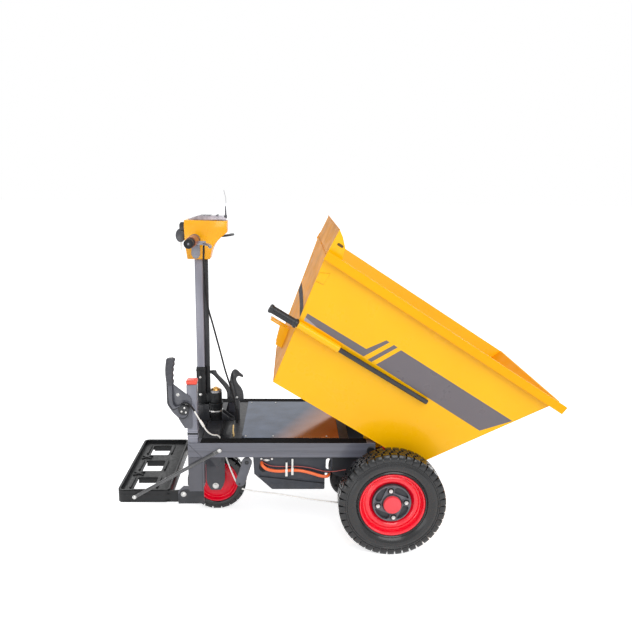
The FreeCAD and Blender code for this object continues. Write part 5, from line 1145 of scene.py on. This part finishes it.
# ---------------------------------------------------------------- bucket latch
# A flame-cut black steel hook on a short post, and the bent strap that pulls it back by hand.
hook = cut_plate("latch_hook", (
    (-0.388, 0.505), (-0.388, 0.505), (-0.388, 0.538), (-0.397, 0.562), (-0.412, 0.58), (-0.421, 0.6),
    (-0.416, 0.614), (-0.408, 0.6185), (-0.396, 0.613), (-0.387, 0.612), (-0.391, 0.622), (-0.402, 0.63),
    (-0.412, 0.642), (-0.425, 0.648), (-0.4375, 0.6405), (-0.445, 0.618), (-0.4495, 0.58), (-0.4495, 0.54),
    (-0.449, 0.505), (-0.449, 0.505)), 0.0115, edge=0.0018, kind="NURBS")
strap = cut_plate("latch_strap",
                  ((-0.449, 0.51), (-0.4455, 0.53), (-0.447, 0.558), (-0.456, 0.578), (-0.474, 0.597),
                   (-0.498, 0.622), (-0.505, 0.632), (-0.505, 0.6405), (-0.519, 0.643), (-0.5345, 0.6405),
                   (-0.5345, 0.631), (-0.524, 0.6265), (-0.514, 0.617), (-0.492, 0.591), (-0.474, 0.568),
                   (-0.463, 0.55), (-0.46, 0.5355), (-0.461, 0.51)), 0.0118, edge=0.0012, kind="NURBS")
low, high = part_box("latch")
stand = block("latch_stand", (-0.428, low.y, low.z), (-0.406, high.y, 0.513), 0.002)
finished(merged("latch_steel", [hook, strap, stand]), "chassis", black_metal, "latch")
pin = bar("latch_pin_zinc", (-0.417, -0.014, 0.522), (-0.417, 0.014, 0.522), 0.0055, 20)
finished(pin, "chassis", zinc)


# ---------------------------------------------------------------- control cable
# A black sheathed cable from the right lever down the column and into the deck.
cable = run_of("control_cable", (
    (-.529, -.159, 1.205), (-.529, -.158, 1.182), (-.536, -.124, 1.138), (-.542, -.07, 1.094),
    (-.544, -.046, 1.044), (-.542, -.038, .985), (-.532, -.038, .925), (-.515, -.04, .865),
    (-.5, -.042, .805), (-.486, -.043, .75), (-.474, -.044, .7), (-.462, -.045, .65), (-.446, -.047, .6),
    (-.432, -.048, .548), (-.42, -.048, .492), (-.414, -.048, .448), (-.414, -.048, .418)), .004, 3)
cable = as_mesh(cable)
bpy.ops.object.shade_smooth_by_angle(angle=math.radians(50))
cable.data.materials.clear()
cable.data.materials.append(black_rubber)
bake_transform(cable)
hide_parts("control_cable_top", "control_cable_low")


# ---------------------------------------------------------------- tipping bucket
# Folded and welded sheet steel in glossy yellow enamel, flatter inside, with a turned-back rear board. The
# deeper orange inside is painted shade, and the rear board's darker yellow with streaky clouds is painted
# shade and reflection. Fine weld beads run along its corners; it turns on two pins through lugs under its
# floor.
bucket_tilt = math.radians(31.3)
hinge = Vector((0.147, 0, 0.3875))
floor_up, floor_half, side_lean = 0.04, 0.276, 0.2
rear_foot, rear_lean = -0.489, 104 / 558


def wall_along(up):
    """How far behind the hinge the rear wall's outer face is, at a height over the hinge."""
    return rear_foot - rear_lean * max(0.0, up - floor_up - 0.003)


def on_bucket(along, across, up):
    """A place given with the bucket level, as it is at the resting tilt."""
    return (hinge.x + along * math.cos(bucket_tilt) + up * math.sin(bucket_tilt), across,
            hinge.z - along * math.sin(bucket_tilt) + up * math.cos(bucket_tilt))


def tipped(piece):
    """Tilts a piece made level about the hinge at the origin."""
    return placed(piece, hinge, bucket_tilt)


def side_across(up, out=0.0):
    """How far from the middle the bucket side's outer face is, at a height over the hinge."""
    return floor_half + side_lean * (up - floor_up) + out


def against_side(piece, side, out=0.0):
    """Leans a thin flat piece made at y = 0 against the outside of a bucket side, and tilts it."""
    for corner in piece.data.vertices:
        corner.co.y = side * (side_across(corner.co.z, out) + side * corner.co.y)
    return tipped(piece)


bucket_yellow = finish("bucket_enamel", "FFBB00", 0.3, coat=0.16, cloud=3.0, depth=0.035, grain=120.0,
                       bump=0.035, edge=0.0016, shine=0.26)
# painted shade and reflection: a darker, warmer copy of the bucket yellow for the shaded back, with streaky
# clouds standing in for reflections
rear_shade_and_reflection_yellow = finish("bucket_rear_painted_shade_and_reflection", "DD9222", 0.55, coat=0.04, cloud=3.2, depth=0.26, grain=120.0,
                     bump=0.04, edge=0.0016, shine=0.1, stretch=(1.0, 1.0, 1.8))
rim_yellow = finish("bucket_rim_enamel", "FBB012", 0.5, cloud=3.0, depth=0.04, grain=120.0, bump=0.04,
                    edge=0.0016, shine=0.12)
# painted shade: the floor and ramp take a deeper orange copy of the bucket yellow, standing in for the shade
# inside the bucket
inside_shade_yellow = finish("bucket_inside_painted_shade", "F6A408", 0.55, cloud=3.0, depth=0.06, grain=120.0,
                       bump=0.05, edge=0.0016, shine=0.1)
dress(rear_shade_and_reflection_yellow, "bucket_rear")
dress(rim_yellow, "bucket_rims")
dress(inside_shade_yellow, "bucket_floor", "bucket_ramp")
dress(bucket_yellow, "bucket_side_left", "bucket_side_right", "bucket_lugs", "bucket_catch")

floor_front, lip_along, lip_up, top_up = 0.192, 0.481, 0.579, 0.604
rear, front = (rear_foot, floor_up), (floor_front, floor_up)
for side, word in both_sides:
    runs = []
    for (x0, up0), (x1, up1) in ((rear, front), (front, (lip_along, lip_up)),
                                 (rear, (wall_along(top_up), top_up))):
        out0, out1 = (side * side_across(up, -0.0004) for up in (up0, up1))
        runs.append(bead("weld_outside", on_bucket(x0, out0, up0), on_bucket(x1, out1, up1), 0.0016, 0.006))
        in0, in1 = (side * side_across(up, -0.0045) for up in (up0, up1))
        runs.append(bead("weld_inside", on_bucket(x0 + 0.004, in0, up0 + 0.005),
                         on_bucket(x1 + 0.004, in1, up1 + 0.003), 0.0022, 0.007))
    finished(merged("bucket_welds_" + word, runs), "bucket", bucket_yellow, smooth=60)
seams = [bead("weld_across", on_bucket(x, -y, up), on_bucket(x, y, up), thick, pitch)
         for x, y, up, thick, pitch in ((wall_along(0.585) - 0.001, 0.38, 0.585, 0.002, 0.007),
                                        (rear_foot, floor_half - 0.002, floor_up, 0.0016, 0.006),
                                        (floor_front, floor_half - 0.002, floor_up, 0.0016, 0.006))]
seams += [bead("weld_lug", on_bucket(x, y - 0.007, floor_up), on_bucket(x, y + 0.007, floor_up), 0.0025)
          for x in (-0.06, 0.06) for y in (0.22, -0.22)]
seams += [bead("weld_tongue", on_bucket(wall_along(0.12), y, 0.12), on_bucket(wall_along(0.205), y, 0.205),
               0.0025) for y in (-0.0345, 0.0345)]
finished(merged("bucket_seams", seams), "bucket", rear_shade_and_reflection_yellow, smooth=60)
lip = bar("bucket_lip_fold", on_bucket(lip_along, -0.383, lip_up), on_bucket(lip_along, 0.383, lip_up),
          0.0042, 16, 0)
board_along, board_up = wall_along(top_up) - 0.0075, 0.6915
board = bar("bucket_board_fold", on_bucket(board_along, -0.4015, board_up),
            on_bucket(board_along, 0.4015, board_up), 0.0022, 12, 0)
finished(lip, "bucket", bucket_yellow)
finished(board, "bucket", rear_shade_and_reflection_yellow)


# ---------------------------------------------------------------- stripes on the bucket
# Thin printed film in warm dark grey, stuck on both sides and across the rear wall, with a pale wedge; the
# rear stripe's darker film is painted shade. A small plate stands on each side near the rear, with a darker
# outline of painted shadow, and each ear under the head board has a slot, drawn as a dark patch of painted
# shade.
film_grey = finish("stripe_film", "625B60", 0.3, coat=0.2, cloud=3.0, depth=0.03, grain=300.0, bump=0.02,
                   edge=0.0002)
film_pale = finish("stripe_film_pale", "9E9AA2", 0.3, coat=0.3, cloud=12.0, depth=0.06, grain=300.0,
                   bump=0.05, edge=0.0002)
slot_painted_shade = finish("ear_slot_painted_shade", "5A4208", 0.6, cloud=30.0, depth=0.2, grain=500.0, bump=0.1,
                   edge=0.0003)
stripe = ((-0.528, 0.3575), (-0.261, 0.3575), (-0.217, 0.429), (-0.202, 0.429), (-0.253, 0.326),
          (-0.461, 0.329), (-0.524, 0.326))
slash = ((-0.182, 0.429), (-0.165, 0.428), (-0.214, 0.324), (-0.232, 0.323))
panel = ((-0.147, 0.426), (0.389, 0.416), (0.310, 0.311), (-0.193, 0.324))
wedge = ((-0.5265, 0.3405), (-0.461, 0.329), (-0.524, 0.326))
patch = ((-0.573, 0.483), (-0.538, 0.486), (-0.540, 0.536), (-0.574, 0.517))
for side, word in both_sides:
    films = [against_side(cut_plate("stripe", outline, 0.0004), side, 0.0003)
             for outline in (stripe, slash, panel)]
    finished(merged("stripes_" + word, films), "bucket", film_grey)
    finished(against_side(cut_plate("stripe_wedge_" + word, wedge, 0.0004), side, 0.0006), "bucket",
             film_pale)
    finished(against_side(cut_plate("side_plate_" + word, patch, 0.0016, (), 0.0006), side, 0.0006),
             "bucket", bucket_yellow)
    # painted shadow: a darker outline, shifted and a little larger, peeks out behind each plate as the
    # shadow of its edge
    edge = [(x * 1.0045 + 0.0025, z + (0.0014 if z > 0.51 else -0.0014)) for x, z in patch]
    finished(against_side(cut_plate("side_plate_shadow_edge_" + word, edge, 0.0004), side, 0.0003), "bucket",
             rear_shade_and_reflection_yellow)
    # painted shade: the slot is a flat dark patch that stands in for the shade in the hole
    slot = cut_plate("ear_slot", rounded((-0.579, 0.6395), (-0.554, 0.6495), 0.0049), 0.0008)
    finished(against_side(slot, side, 0.0004), "bucket", slot_painted_shade)


def against_rear(piece, out=0.0):
    """Lays a thin flat piece of (across, up) points against the rear wall's outside, and tilts it."""
    placed(piece, (0, 0, 0), math.pi / 2, "Z")
    for corner in piece.data.vertices:
        corner.co.x += wall_along(corner.co.z) - out
    return tipped(piece)


band = [(y, 0.3265 + 0.004 * math.cos(y * 7)) for y in (-0.325, -0.2, -0.1, 0.0, 0.1, 0.2, 0.325)]
band += [(y, 0.3635 + 0.004 * math.cos(y * 7)) for y in (0.325, 0.2, 0.1, 0.0, -0.1, -0.2, -0.325)]
# painted shade: the rear stripe is a darker copy of the side stripes' film, for the shade on the rear wall
rear_film_shaded = finish("rear_stripe_film_painted_shade", "3A3438", 0.6, cloud=12.0, depth=0.06, grain=300.0, bump=0.05,
                   edge=0.0002, shine=0.05)
finished(against_rear(cut_plate("rear_stripe", band, 0.0004), 0.0003), "bucket", rear_film_shaded)


# ---------------------------------------------------------------- tipping lever
# A black enamelled rod in a yellow guide tube welded to the right side, with a ribbed rubber grip.
lever_up, guide_radius = 0.302, 0.016
lever_y = -side_across(lever_up, guide_radius * math.sqrt(1 + side_lean * side_lean))
start = wall_along(lever_up)
guide = turned("lever_guide_tube",
               ((0.0102, 0.0), (0.0152, 0.0), (0.016, 0.001), (0.016, 0.185), (0.0152, 0.186),
                (0.0102, 0.186), (0.0102, 0.0)), (start, lever_y, lever_up), 40, "X")
finished(tipped(guide), "bucket", bucket_yellow, "lever_guide")
rod = turned("lever_rod_bar", ((0.0, 0.0), (0.0085, 0.0), (0.0098, 0.0015), (0.01, 0.003), (0.01, 0.597),
                               (0.0085, 0.6), (0.0, 0.6)), (start - 0.004, lever_y, lever_up), 32, "X")
finished(tipped(rod), "bucket", black_metal, "lever_rod")
outline = [(0.0, 0.0), (0.0125, 0.0), (0.0165, 0.002), (0.0182, 0.006), (0.0178, 0.011), (0.0152, 0.016)]
for k in range(14):
    at = 0.018 + k * 0.0062
    outline += [(0.0148, at), (0.0157, at + 0.001), (0.0157, at + 0.0036), (0.0148, at + 0.0046)]
outline += [(0.0152, 0.106), (0.0165, 0.11), (0.0188, 0.1135), (0.019, 0.1165), (0.019, 0.1205),
            (0.0175, 0.122), (0.0, 0.122)]
grip = turned("lever_grip_rubber", outline, (start - 0.126, lever_y, lever_up), 40, "X")
grip_black = finish("lever_grip_black", "1B1B1E", 0.32, cloud=26.0, depth=0.2, grain=700.0, bump=0.15,
                    edge=0.0006)
finished(tipped(grip), "bucket", grip_black, "lever_grip")
fillets = [bead("weld_guide", on_bucket(start + 0.004, lever_y + 0.0135, up),
                on_bucket(start + 0.182, lever_y + 0.0135, up), 0.0022)
           for up in (lever_up - 0.0105, lever_up + 0.0105)]
finished(merged("lever_guide_welds", fillets), "bucket", bucket_yellow, smooth=60)


# ---------------------------------------------------------------- hinge pins
# Headed black pins through the rails and the bucket's lugs, each kept in by a split pin.
pins = []
for side in (1, -1):
    pins.append(turned("hinge_pin", facing(side, (
        (0.0, 0.2105), (0.0105, 0.2105), (0.012, 0.212), (0.012, 0.282), (0.018, 0.282), (0.018, 0.2865),
        (0.0165, 0.288), (0.0, 0.288))), hinge, 36))
    pins.append(bar("split_pin", (hinge.x, side * 0.2125, hinge.z - 0.0165),
                    (hinge.x, side * 0.2125, hinge.z + 0.0165), 0.0013, 10, 0))
finished(merged("hinge_pins", pins), "chassis", black_metal, "pivot_pins")


# ---------------------------------------------------------------- front bay trim
# Black gusset plates brace the head tube, and a thin black sheet ahead of it closes the gap there as painted
# shade. The deck's edges are folded up along the rails in black, and the rails' tops carry matt black
# strips:
# both are painted shadow under the deck's edges. A pale wire comes down here, and a small adjuster sits on
# the brake line.
webs = (((-0.595, 0.4175), (-0.5365, 0.4175), (-0.5365, 0.4925), (-0.592, 0.4925), (-0.595, 0.488)),
        ((-0.4835, 0.4175), (-0.4305, 0.4175), (-0.4835, 0.46)))
trim = [placed(cut_plate("head_gusset", web, 0.005, edge=0.0012), (0, y, 0))
        for y in (0.0215, -0.0215) for web in webs]
# painted shade: a thin black sheet closes the gap, standing in for the shade there
trim.append(block("gap_shade_sheet", (-0.479, -0.19, 0.366), (-0.427, 0.232, 0.369), 0.0008))
# painted shadow: black folds at the deck's edges stand in for the shadow under them
trim += [block("deck_edge_shadow_fold", (-0.383, y0, 0.396), (0.06, y1, 0.4182), 0.0005, 1)
         for y0, y1 in ((-0.2325, -0.2285), (0.2285, 0.2325))]
finished(merged("head_gussets_and_shade_strips", trim), "chassis", frame_black)
# painted shadow: matt black strips on the rails' tops stand in for the shadow under the deck's edges
rail_shadow_black = finish("rail_top_painted_shadow", "0E0E10", 0.7, cloud=30.0, depth=0.2, grain=600.0, bump=0.1,
                     edge=0.0006, shine=0.06)
strips = [block("rail_top_shadow_strip", (-0.545, y0, 0.417), (0.13, y1, 0.4192), 0.0006, 1)
          for y0, y1 in ((-0.279, -0.2295), (0.2295, 0.279))]
finished(merged("rail_top_shadow_strips", strips), "chassis", rail_shadow_black)
cream = finish("cream_wire", "D9B87A", 0.45, cloud=50.0, depth=0.1, grain=700.0, bump=0.06, edge=0.0003)
wire = run_of("cream_wire_run",
              ((-0.4165, -0.2, 0.385), (-0.4175, -0.206, 0.415), (-0.414, -0.21, 0.428),
               (-0.4185, -0.206, 0.441), (-0.4165, -0.202, 0.456), (-0.4175, -0.194, 0.464),
               (-0.42, -0.185, 0.455), (-0.421, -0.18, 0.4185)), 0.0026, 3)
finished(wire, "chassis", cream)
adjuster = bar("brake_adjuster", (-0.541, -0.2925, 0.519), (-0.5275, -0.287, 0.4915), 0.0052, 12, 0.001)
finished(adjuster, "chassis", wire_white)
